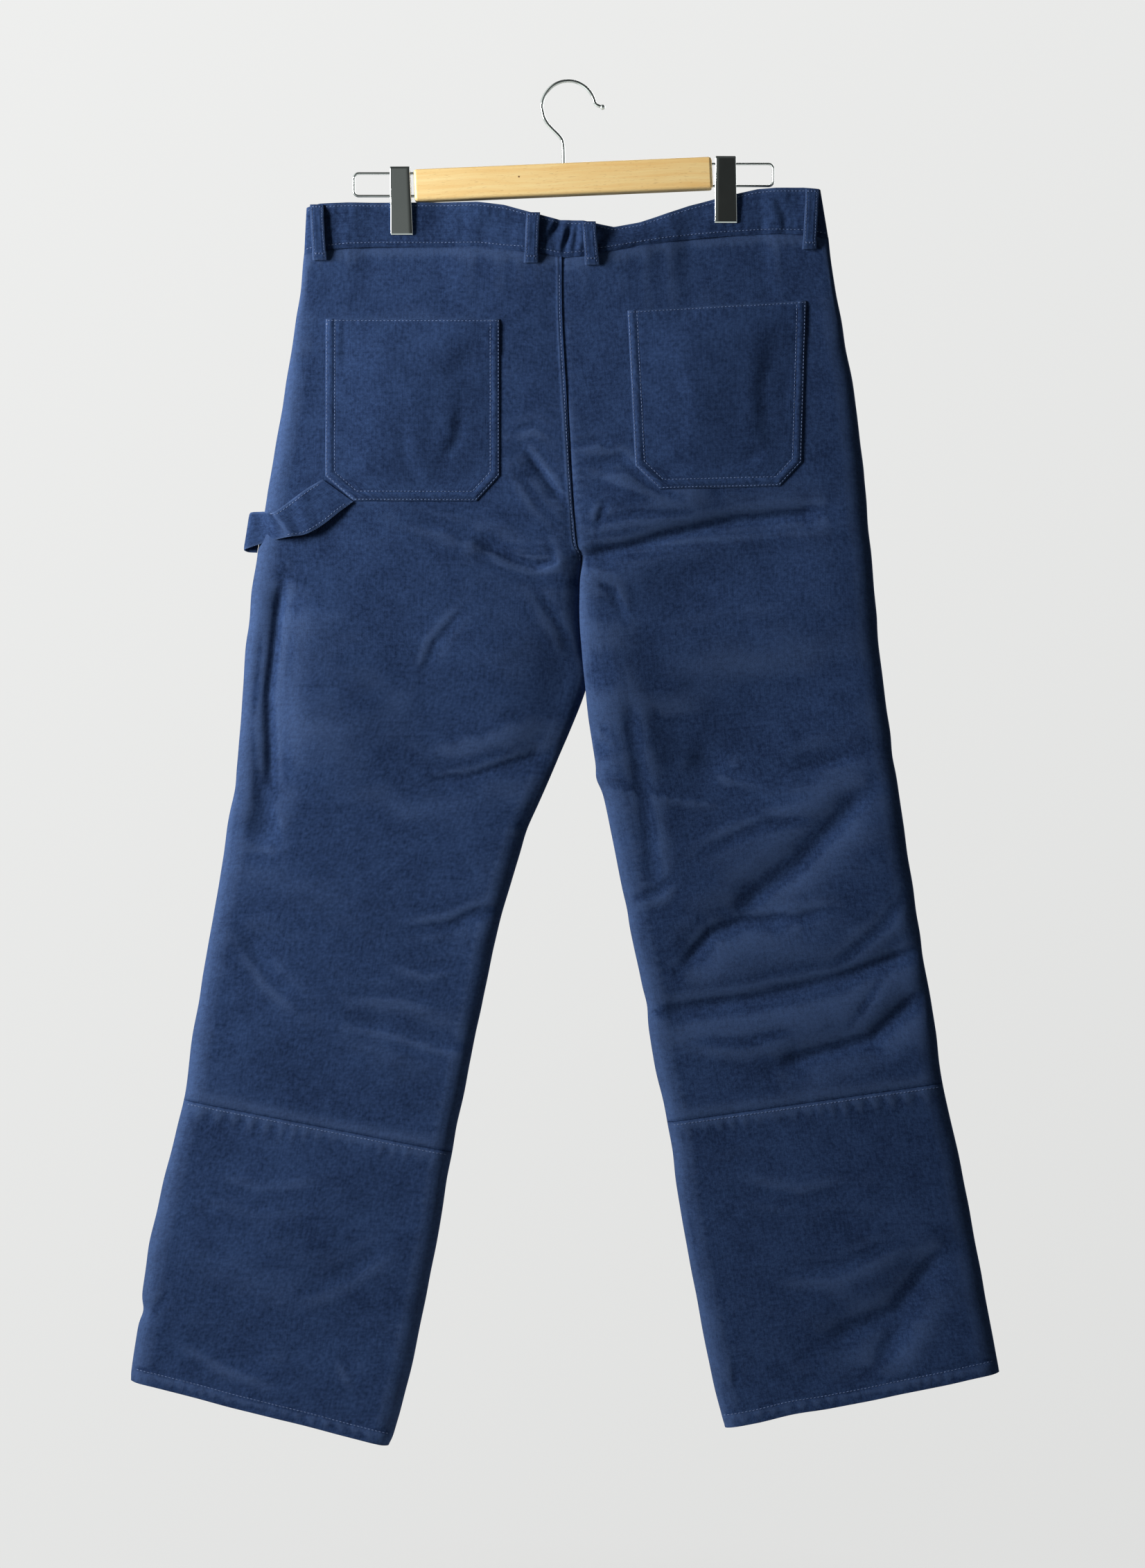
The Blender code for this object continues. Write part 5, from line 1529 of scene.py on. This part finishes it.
def make_button():
    low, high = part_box("waist_button")
    middle = (low + high) / 2
    deselect()
    bpy.ops.mesh.primitive_cylinder_add(vertices=40, radius=BUTTON_RADIUS * MM, depth=BUTTON_THICKNESS * MM)
    button = bpy.context.object
    button.name = "waist_button_disc"
    button.data.name = "waist_button_disc"
    bpy.ops.object.mode_set(mode="EDIT")
    bpy.ops.mesh.select_mode(type="FACE")
    select_faces(button, lambda centre, normal: normal.z > 0.9)
    bpy.ops.mesh.inset(thickness=1.3 * MM, depth=0)
    bpy.ops.mesh.inset(thickness=0.9 * MM, depth=-0.7 * MM)
    bpy.ops.object.mode_set(mode="OBJECT")
    for turn in range(4):
        angle = math.pi / 4 + turn * math.pi / 2
        place = (BUTTON_HOLE_OUT * MM * math.cos(angle), BUTTON_HOLE_OUT * MM * math.sin(angle), 0)
        deselect()
        bpy.ops.mesh.primitive_cylinder_add(vertices=12, radius=BUTTON_HOLE * MM / 2 * 1.6, depth=10 * MM,
                                            location=place)
        drill = bpy.context.object
        keep_only(button)
        hole = button.modifiers.new("hole", "BOOLEAN")
        hole.operation = "DIFFERENCE"
        hole.object = drill
        bpy.ops.object.modifier_apply(modifier=hole.name)
        bpy.data.objects.remove(drill)
    soft = button.modifiers.new("soft rim", "BEVEL")
    soft.width = 0.35 * MM
    soft.segments = 3
    soft.limit_method = "ANGLE"
    soft.angle_limit = math.radians(40)
    bpy.ops.object.modifier_apply(modifier=soft.name)
    bpy.ops.object.shade_smooth_by_angle(angle=math.radians(40))
    button.rotation_euler = (-math.pi / 2, 0, 0)
    button.location = middle + Vector((0, BUTTON_LIFT * MM, 0))
    bpy.ops.object.transform_apply(location=True, rotation=True, scale=True)
    button.data.materials.append(horn("dark button"))
    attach(button, BODY)
    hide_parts("waist_button")
    return button


BUTTON_LIFT = 1.6


def horn(name):
    material, shader, wire = new_material(name)
    place = Wire(wire.tree, wire.node("ShaderNodeTexCoord").socket.node.outputs["Object"])
    cloud = noise(wire, place, 260, 3.0)
    colour = cloud.between(0.3, 0.7).mixed((0.006, 0.008, 0.014, 1), (0.03, 0.034, 0.045, 1))
    wire.tree.links.new(colour.socket, shader.inputs["Base Color"])
    wire.tree.links.new((0.28 + cloud * 0.2).socket, shader.inputs["Roughness"])
    return material


PIECES["button"] = make_button()
print("button faces:", len(PIECES["button"].data.polygons))

# %% [markdown]
# ## Beech
# The hanger's bar is lacquered beech. Its grain runs along the bar in fine streaks, with the short
# darker flecks that beech shows, and a clear coat makes the light lie softly on it.

# %% Bar
BAR_TILT = math.radians(2.45)
BAR_MIDDLE = (-4.7, -88.6)
BRAD_PLACE = (-44.7, -86.9)


def beech(name):
    material, shader, wire = new_material(name)
    place = Wire(wire.tree, wire.node("ShaderNodeTexCoord").socket.node.outputs["Object"])
    turned = wire.node("ShaderNodeMapping", (), {0: place, 2: (0, BAR_TILT, 0)})
    warp = noise(wire, turned, 14, 2.0)
    bent = wire.node("ShaderNodeVectorMath", {"operation": "ADD"},
                     {0: turned, 1: wire.node("ShaderNodeCombineXYZ", (), {2: (warp - 0.5) * 0.006})})
    streaks = noise(wire, bent, 420, 3.0, 0.6, (0.05, 1, 1))
    rings = noise(wire, bent, 120, 2.0, 0.5, (0.035, 1, 1), (3, 0, 0))
    flecks = noise(wire, bent, 1500, 1.0, 0.5, (0.12, 1, 1), (7, 0, 0)).between(0.63, 0.72)
    broad = noise(wire, turned, 12, 2.0, 0.5, (0.6, 1, 1), (1, 0, 0))
    tone = (streaks - 0.5) * 1.1 + (rings - 0.5) * 1.3 + (broad - 0.5) * 0.5 + 0.5
    base = tone.clamped().mixed(rgb(243, 196, 122), rgb(255, 230, 168))
    dark = (flecks * 0.28).mixed(base, rgb(176, 118, 60))
    away = wire.node("ShaderNodeVectorMath", {"operation": "SUBTRACT"},
                     {0: place, 1: (BRAD_PLACE[0] * MM, -7.5 * MM, BRAD_PLACE[1] * MM)})
    far = Wire(wire.tree, wire.node("ShaderNodeVectorMath", {"operation": "LENGTH"},
                                    {0: away}).socket.node.outputs["Value"])
    brad = 1.0 - far.between(0.6 * MM, 1.0 * MM)
    colour = brad.mixed(dark, rgb(120, 84, 48))
    wire.tree.links.new(colour.socket, shader.inputs["Base Color"])
    wire.tree.links.new((0.42 + streaks * 0.12).socket, shader.inputs["Roughness"])
    bump = wire.node("ShaderNodeBump", (), {"Strength": 0.25, "Distance": 0.15 * MM,
                                            "Height": streaks - brad * 2.0})
    wire.tree.links.new(bump.socket, shader.inputs["Normal"])
    shader.inputs["Coat Weight"].default_value = 0.25
    shader.inputs["Coat Roughness"].default_value = 0.3
    return material


def copied_solid(node, name, bevel, segments, angle=30):
    """A merged copy of a CAD node, with its sharp edges rounded."""
    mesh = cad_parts[node].data.copy()
    mesh.name = name
    mesh.materials.clear()
    piece = bpy.data.objects.new(name, mesh)
    bpy.context.scene.collection.objects.link(piece)
    keep_only(piece)
    bpy.ops.object.mode_set(mode="EDIT")
    bpy.ops.mesh.select_all(action="SELECT")
    bpy.ops.mesh.remove_doubles(threshold=0.005 * MM)
    bpy.ops.mesh.dissolve_limited(angle_limit=math.radians(1))
    bpy.ops.object.mode_set(mode="OBJECT")
    if bevel:
        soft = piece.modifiers.new("soft edges", "BEVEL")
        soft.width = bevel * MM
        soft.segments = segments
        soft.limit_method = "ANGLE"
        soft.angle_limit = math.radians(angle)
        bpy.ops.object.modifier_apply(modifier=soft.name)
    bpy.ops.object.shade_smooth_by_angle(angle=math.radians(angle))
    even = piece.modifiers.new("even faces", "WEIGHTED_NORMAL")
    even.keep_sharp = True
    bpy.ops.object.modifier_apply(modifier=even.name)
    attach(piece, BODY)
    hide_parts(node)
    return piece


PIECES["bar"] = copied_solid("hanger_bar", "hanger_bar_beech", 0, 1, 35)
PIECES["bar"].data.materials.append(beech("lacquered beech"))

# %% [markdown]
# ## Chrome
# The hook, the end wires and the clips are plated steel. Chrome is a mirror, so its look comes from
# what it reflects. Fine scratches and a faint haze keep it from looking like glass.

# %% Hook and end wires
Clip = namedtuple("Clip", "name bar_side top_from top_to foot_from foot_to top_z foot_z "
                          "wire_x wire_top_z wire_foot_z jaw_z")
CLIPS = (
    Clip("left", -1, -161.9, -143.9, -161.1, -141.0, -77.5, -139.2, -195.0, -82.7, -103.3, -108.8),
    Clip("right", 1, 133.6, 152.1, 132.7, 153.2, -68.0, -128.4, 186.3, -74.0, -94.1, -96.6),
)
WIRE_RADIUS = 1.15
HOOK_RADIUS = 1.5
HOOK_BEND_RADIUS = 24.3
HOOK_MIDDLE_Z = -22.8
HOOK_STOP_ANGLE = 14
HOOK_NECK = ((-4.2, -90), (-4.3, -80), (-4.4, -66), (-4.7, -58), (-6.0, -52), (-9.5, -47.5),
             (-14.0, -43), (-19.0, -37.6), (-22.6, -31))
HOOK_LIP = ((24.2, -18.6), (25.6, -20.2), (27.6, -21.2), (29.2, -21.8), (31.2, -22.4), (32.7, -22.8))
HOOK_BALL_RADIUS = 2.35
BAR_LENGTH = 271.0
WIRE_IN_BAR = 22.0
WIRE_CORNER = 4.5


def chrome(name, tint, rough):
    material, shader, wire = new_material(name)
    place = Wire(wire.tree, wire.node("ShaderNodeTexCoord").socket.node.outputs["Object"])
    haze = noise(wire, place, 90, 3.0)
    scratches = noise(wire, place, 900, 2.0, 0.5, (1, 1, 0.06))
    colour = haze.mixed(tuple(0.92 * c for c in tint) + (1,), tint + (1,))
    wire.tree.links.new(colour.socket, shader.inputs["Base Color"])
    wire.tree.links.new((rough + haze * 0.05 + scratches * 0.04).socket, shader.inputs["Roughness"])
    bump = wire.node("ShaderNodeBump", (), {"Strength": 0.03, "Distance": 0.02 * MM, "Height": scratches})
    wire.tree.links.new(bump.socket, shader.inputs["Normal"])
    shader.inputs["Metallic"].default_value = 1.0
    return material


CHROME = chrome("bright chrome", (0.74, 0.77, 0.76), 0.05)


def wire_tube(name, route, radius, node):
    """A bent wire: a curve with a round bevel, made a mesh."""
    curve = bpy.data.curves.new(name, "CURVE")
    curve.dimensions = "3D"
    curve.bevel_depth = radius * MM
    curve.bevel_resolution = 4
    curve.use_fill_caps = True
    spline = curve.splines.new("POLY")
    spline.points.add(len(route) - 1)
    for index, (x, z) in enumerate(route):
        spline.points[index].co = (x * MM, 0, z * MM, 1)
    spline.use_smooth = True
    piece = bpy.data.objects.new(name, curve)
    bpy.context.scene.collection.objects.link(piece)
    keep_only(piece)
    bpy.ops.object.convert(target="MESH")
    piece = bpy.context.object
    piece.data.name = name
    bpy.ops.object.shade_smooth_by_angle(angle=math.radians(40))
    piece.data.materials.clear()
    piece.data.materials.append(CHROME)
    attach(piece, BODY)
    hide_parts(node)
    return piece


def hook_route():
    bend = []
    for angle in np.linspace(180, HOOK_STOP_ANGLE, 40):
        turn = math.radians(angle)
        bend.append((HOOK_BEND_RADIUS * math.cos(turn), HOOK_MIDDLE_Z + HOOK_BEND_RADIUS * math.sin(turn)))
    neck = through(HOOK_NECK, [3] * (len(HOOK_NECK) - 1))
    lip = through(HOOK_LIP[:-1], [3] * (len(HOOK_LIP) - 2))
    return [*map(tuple, neck), *bend, *map(tuple, lip)]


def add_hook_ball(hook):
    """The wire's end is closed by a small turned ball."""
    x, z = HOOK_LIP[-2]
    deselect()
    bpy.ops.mesh.primitive_uv_sphere_add(segments=24, ring_count=14, radius=HOOK_BALL_RADIUS * MM,
                                         location=(x * MM, 0, z * MM))
    ball = bpy.context.object
    bpy.ops.object.transform_apply(location=True, rotation=True, scale=True)
    bpy.ops.object.shade_smooth()
    ball.name = "hook_ball"
    ball.data.name = "hook_ball"
    ball.data.materials.append(CHROME)
    ball.parent = hook
    return ball


def bar_end(side):
    return BAR_MIDDLE[0] + side * BAR_LENGTH / 2 * math.cos(BAR_TILT)


def wire_route(clip):
    side = clip.bar_side
    inside = bar_end(side) - side * WIRE_IN_BAR
    corner = clip.wire_x - side * WIRE_CORNER
    route = [(inside, clip.wire_top_z)]
    for start, z, bend in ((0, clip.wire_top_z, -1), (90, clip.wire_foot_z, 1)):
        for angle in np.linspace(start, start + 90, 9):
            turn = math.radians(angle)
            height = WIRE_CORNER * (1 - abs(math.cos(turn)))
            route.append((corner + side * WIRE_CORNER * math.sin(turn), z + bend * height))
    route.append((inside, clip.wire_foot_z))
    return route


PIECES["hook"] = wire_tube("hook_wire", hook_route(), HOOK_RADIUS, "hanger_hook")
PIECES["ball"] = add_hook_ball(PIECES["hook"])
for clip in CLIPS:
    PIECES["wire", clip.name] = wire_tube("end_wire_" + clip.name, wire_route(clip), WIRE_RADIUS,
                                          "hanger_wire_" + clip.name)

# %% Clips
CLIP_SHEET = 1.0
CLIP_CORNER = 0.7
CLIP_TURN = {"left": 0.5, "right": -0.3}


def clip_stations(clip):
    """Rows down a clip's plate: height, how far out its face is, and how far out its tips are."""
    wire = WIRE_RADIUS + 0.35
    band = 2.85
    return through(((clip.top_z, 6.4, wire + 2.4), (clip.top_z - 2.5, 7.4, wire), (clip.top_z - 16, 7.1, wire),
                    (clip.jaw_z + 1, 6.8, wire), (clip.jaw_z - 1, 6.7, band), (clip.foot_z + 12, 6.2, band),
                    (clip.foot_z + 2, 5.8, band), (clip.foot_z, 5.0, band)), [3, 4, 4, 1, 5, 4, 3])


def plate_path(left, right, face, tip):
    """The plate's section: up one turned side, round the corner, across the face and back."""
    path = [(left, tip), (left, 0.5 * (tip + face))]
    for angle in np.linspace(0, math.pi / 2, 6):
        path.append((left + CLIP_CORNER * (1 - math.cos(angle)), face - CLIP_CORNER * (1 - math.sin(angle))))
    for share in (0.25, 0.5, 0.75):
        path.append((left + (right - left) * share, face))
    for angle in np.linspace(math.pi / 2, 0, 6):
        path.append((right - CLIP_CORNER * (1 - math.cos(angle)), face - CLIP_CORNER * (1 - math.sin(angle))))
    return path + [(right, 0.5 * (tip + face)), (right, tip)]


def make_clip_plate(clip, face):
    sign = -1 if face == "back" else 1
    rows = []
    for z, web, tip in clip_stations(clip):
        share = (clip.top_z - z) / (clip.top_z - clip.foot_z)
        left = clip.top_from + (clip.foot_from - clip.top_from) * share
        right = clip.top_to + (clip.foot_to - clip.top_to) * share
        turn = CLIP_TURN[clip.name] / (right - left)
        path = plate_path(left, right, web, tip)
        rows.append([(x, sign * (y + turn * (x - (left + right) / 2)), z) for x, y in path])
    points = np.array(rows)
    name = "clip_%s_%s_plate" % (clip.name, face)
    plate = make_sheet(name, points, map_of(points), (0, sign, 0), CHROME, CLIP_SHEET, smooth=40)
    keep_only(plate)
    soft = plate.modifiers.new("soft edges", "BEVEL")
    soft.width = 0.22 * MM
    soft.segments = 2
    soft.limit_method = "ANGLE"
    soft.angle_limit = math.radians(50)
    bpy.ops.object.modifier_apply(modifier=soft.name)
    bpy.ops.object.shade_smooth_by_angle(angle=math.radians(40))
    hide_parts("clip_%s_%s" % (clip.name, face))
    return plate


for clip in CLIPS:
    for face in FACES:
        PIECES["clip", clip.name, face] = make_clip_plate(clip, face)

# %% [markdown]
# ## The room
# A pale floor, pale air and soft light. The floor fades out round the object, so no edge of it
# shows. What the camera sees as air is bright, with a painted light fall-off that makes it lighter
# towards the upper left, as a wall lit from there would be. The air lights the cloth only a little:
# the folds then stay clear in the light of one large lamp from the upper left.

# %% Floor, air and lamps
FLOOR_Z = -1500.0
FLOOR_RADIUS = 1600.0


def make_floor():
    deselect()
    bpy.ops.mesh.primitive_circle_add(vertices=96, radius=FLOOR_RADIUS * MM, fill_type="NGON",
                                      location=(0, 0, FLOOR_Z * MM))
    floor = bpy.context.object
    floor.name = "floor"
    material, shader, wire = new_material("pale floor")
    place = Wire(wire.tree, wire.node("ShaderNodeTexCoord").socket.node.outputs["Object"])
    far = Wire(wire.tree, wire.node("ShaderNodeVectorMath", {"operation": "LENGTH"},
                                    {0: place}).socket.node.outputs["Value"])
    grain = noise(wire, place, 40, 3.0)
    colour = grain.mixed((0.72, 0.72, 0.71, 1), (0.80, 0.80, 0.79, 1))
    wire.tree.links.new(colour.socket, shader.inputs["Base Color"])
    shader.inputs["Roughness"].default_value = 0.8
    wire.tree.links.new((1.0 - far.between(0.25, 0.8)).socket, shader.inputs["Alpha"])
    floor.data.materials.append(material)


def make_air():
    world = bpy.data.worlds.new("pale air")
    bpy.context.scene.world = world
    world.use_nodes = True
    tree = world.node_tree
    tree.nodes.clear()
    start = Wire(tree)
    direction = start.node("ShaderNodeTexCoord").socket.node.outputs["Generated"]
    split = start.node("ShaderNodeSeparateXYZ", (), {0: Wire(tree, direction)})
    x = split
    z = Wire(tree, split.socket.node.outputs[2])
    # The backdrop the camera sees gets a painted light fall-off: lighter to the left and the top, as a wall lit
    # from the upper left would be.
    bright = 0.80 - x * 0.138 + z * 0.172
    backdrop_painted_falloff = start.node("ShaderNodeBackground", (), {"Color": (0.995, 1.0, 0.99, 1), "Strength": bright})
    y = Wire(tree, split.socket.node.outputs[1])
    behind = (y * -1.0).between(0.72, 0.97)
    wall = (x * -1.0).between(-0.04, 0.09) * 0.13 + 0.03
    bright = (x * -1.0).between(0.3, 0.6) * 0.85 + (z * -1.0).between(0.3, 0.6) * 0.6 + x.between(0.86, 0.95) * 0.7
    mirrored = behind * wall + (1.0 - behind) * (bright + 0.07)
    tint = (0.92, 0.99, 0.955, 1)
    reflected = start.node("ShaderNodeBackground", (), {"Color": tint, "Strength": mirrored})
    dim = start.node("ShaderNodeBackground", (), {"Color": tint, "Strength": 0.07 - x * 0.03 + z * 0.01})
    rays = start.node("ShaderNodeLightPath").socket.node.outputs
    lighting = start.node("ShaderNodeMixShader", (), {0: Wire(tree, rays["Is Glossy Ray"]), 1: dim,
                                                      2: reflected})
    mixed = start.node("ShaderNodeMixShader", (), {0: Wire(tree, rays["Is Camera Ray"]), 1: lighting,
                                                   2: backdrop_painted_falloff})
    out = tree.nodes.new("ShaderNodeOutputWorld")
    tree.links.new(mixed.socket, out.inputs["Surface"])


def add_lamp(name, place, aim, size, power, colour=(1, 1, 1)):
    data = bpy.data.lights.new(name, "AREA")
    data.shape = "RECTANGLE"
    data.size, data.size_y = (s * MM for s in size)
    data.energy = power
    data.color = colour
    lamp = bpy.data.objects.new(name, data)
    bpy.context.scene.collection.objects.link(lamp)
    lamp.location = Vector(place) * MM
    lamp.visible_camera = False
    lamp.rotation_euler = (Vector(aim) * MM - lamp.location).to_track_quat("-Z", "Y").to_euler()


make_floor()
make_air()
add_lamp("window on the left", (-1600, -700, 50), (-40, 0, -560), (480, 1000), 66, (1.0, 0.99, 0.97))
add_lamp("fill on the right", (1700, -2300, -100), (60, 0, -650), (1800, 2000), 2, (0.95, 0.97, 1.0))
add_lamp("light from behind", (900, 2000, 600), (0, 0, -600), (2000, 1600), 40)
bpy.context.scene.view_settings.view_transform = "Standard"

# %% [markdown]
# ## The flat cuts
# For each leg panel, the flat size it was cut to is worked out from the levels and printed. The
# pockets' outlines and the belt loops' lengths are worked out as well.

last_row = len(SURFACES["left", "back"].points) - 1


def with_stitches(key):
    return [STITCHES[key]] if key in STITCHES else []


for side in SIDES:
    for face, rows in (("back", (0, CALF_ROW)), ("calf", (CALF_ROW, last_row)), ("front", (0, last_row))):
        width, length, area = flat_cut(side, *rows)
        rests = [PANELS["back", side].name] if face == "calf" else [BAND.name]
        with_stitches((face, side))
        print(face, side, "cut", round(width, 3), round(length, 3), "area", round(area, 4))
for pocket in POCKETS:
    outline = sewn_outline(pocket)
    with_stitches(("pocket", pocket.side))
for loop in BELT_LOOPS:
    length = math.hypot(loop.top_x - loop.foot_x, loop.top_z - loop.foot_z) * MM
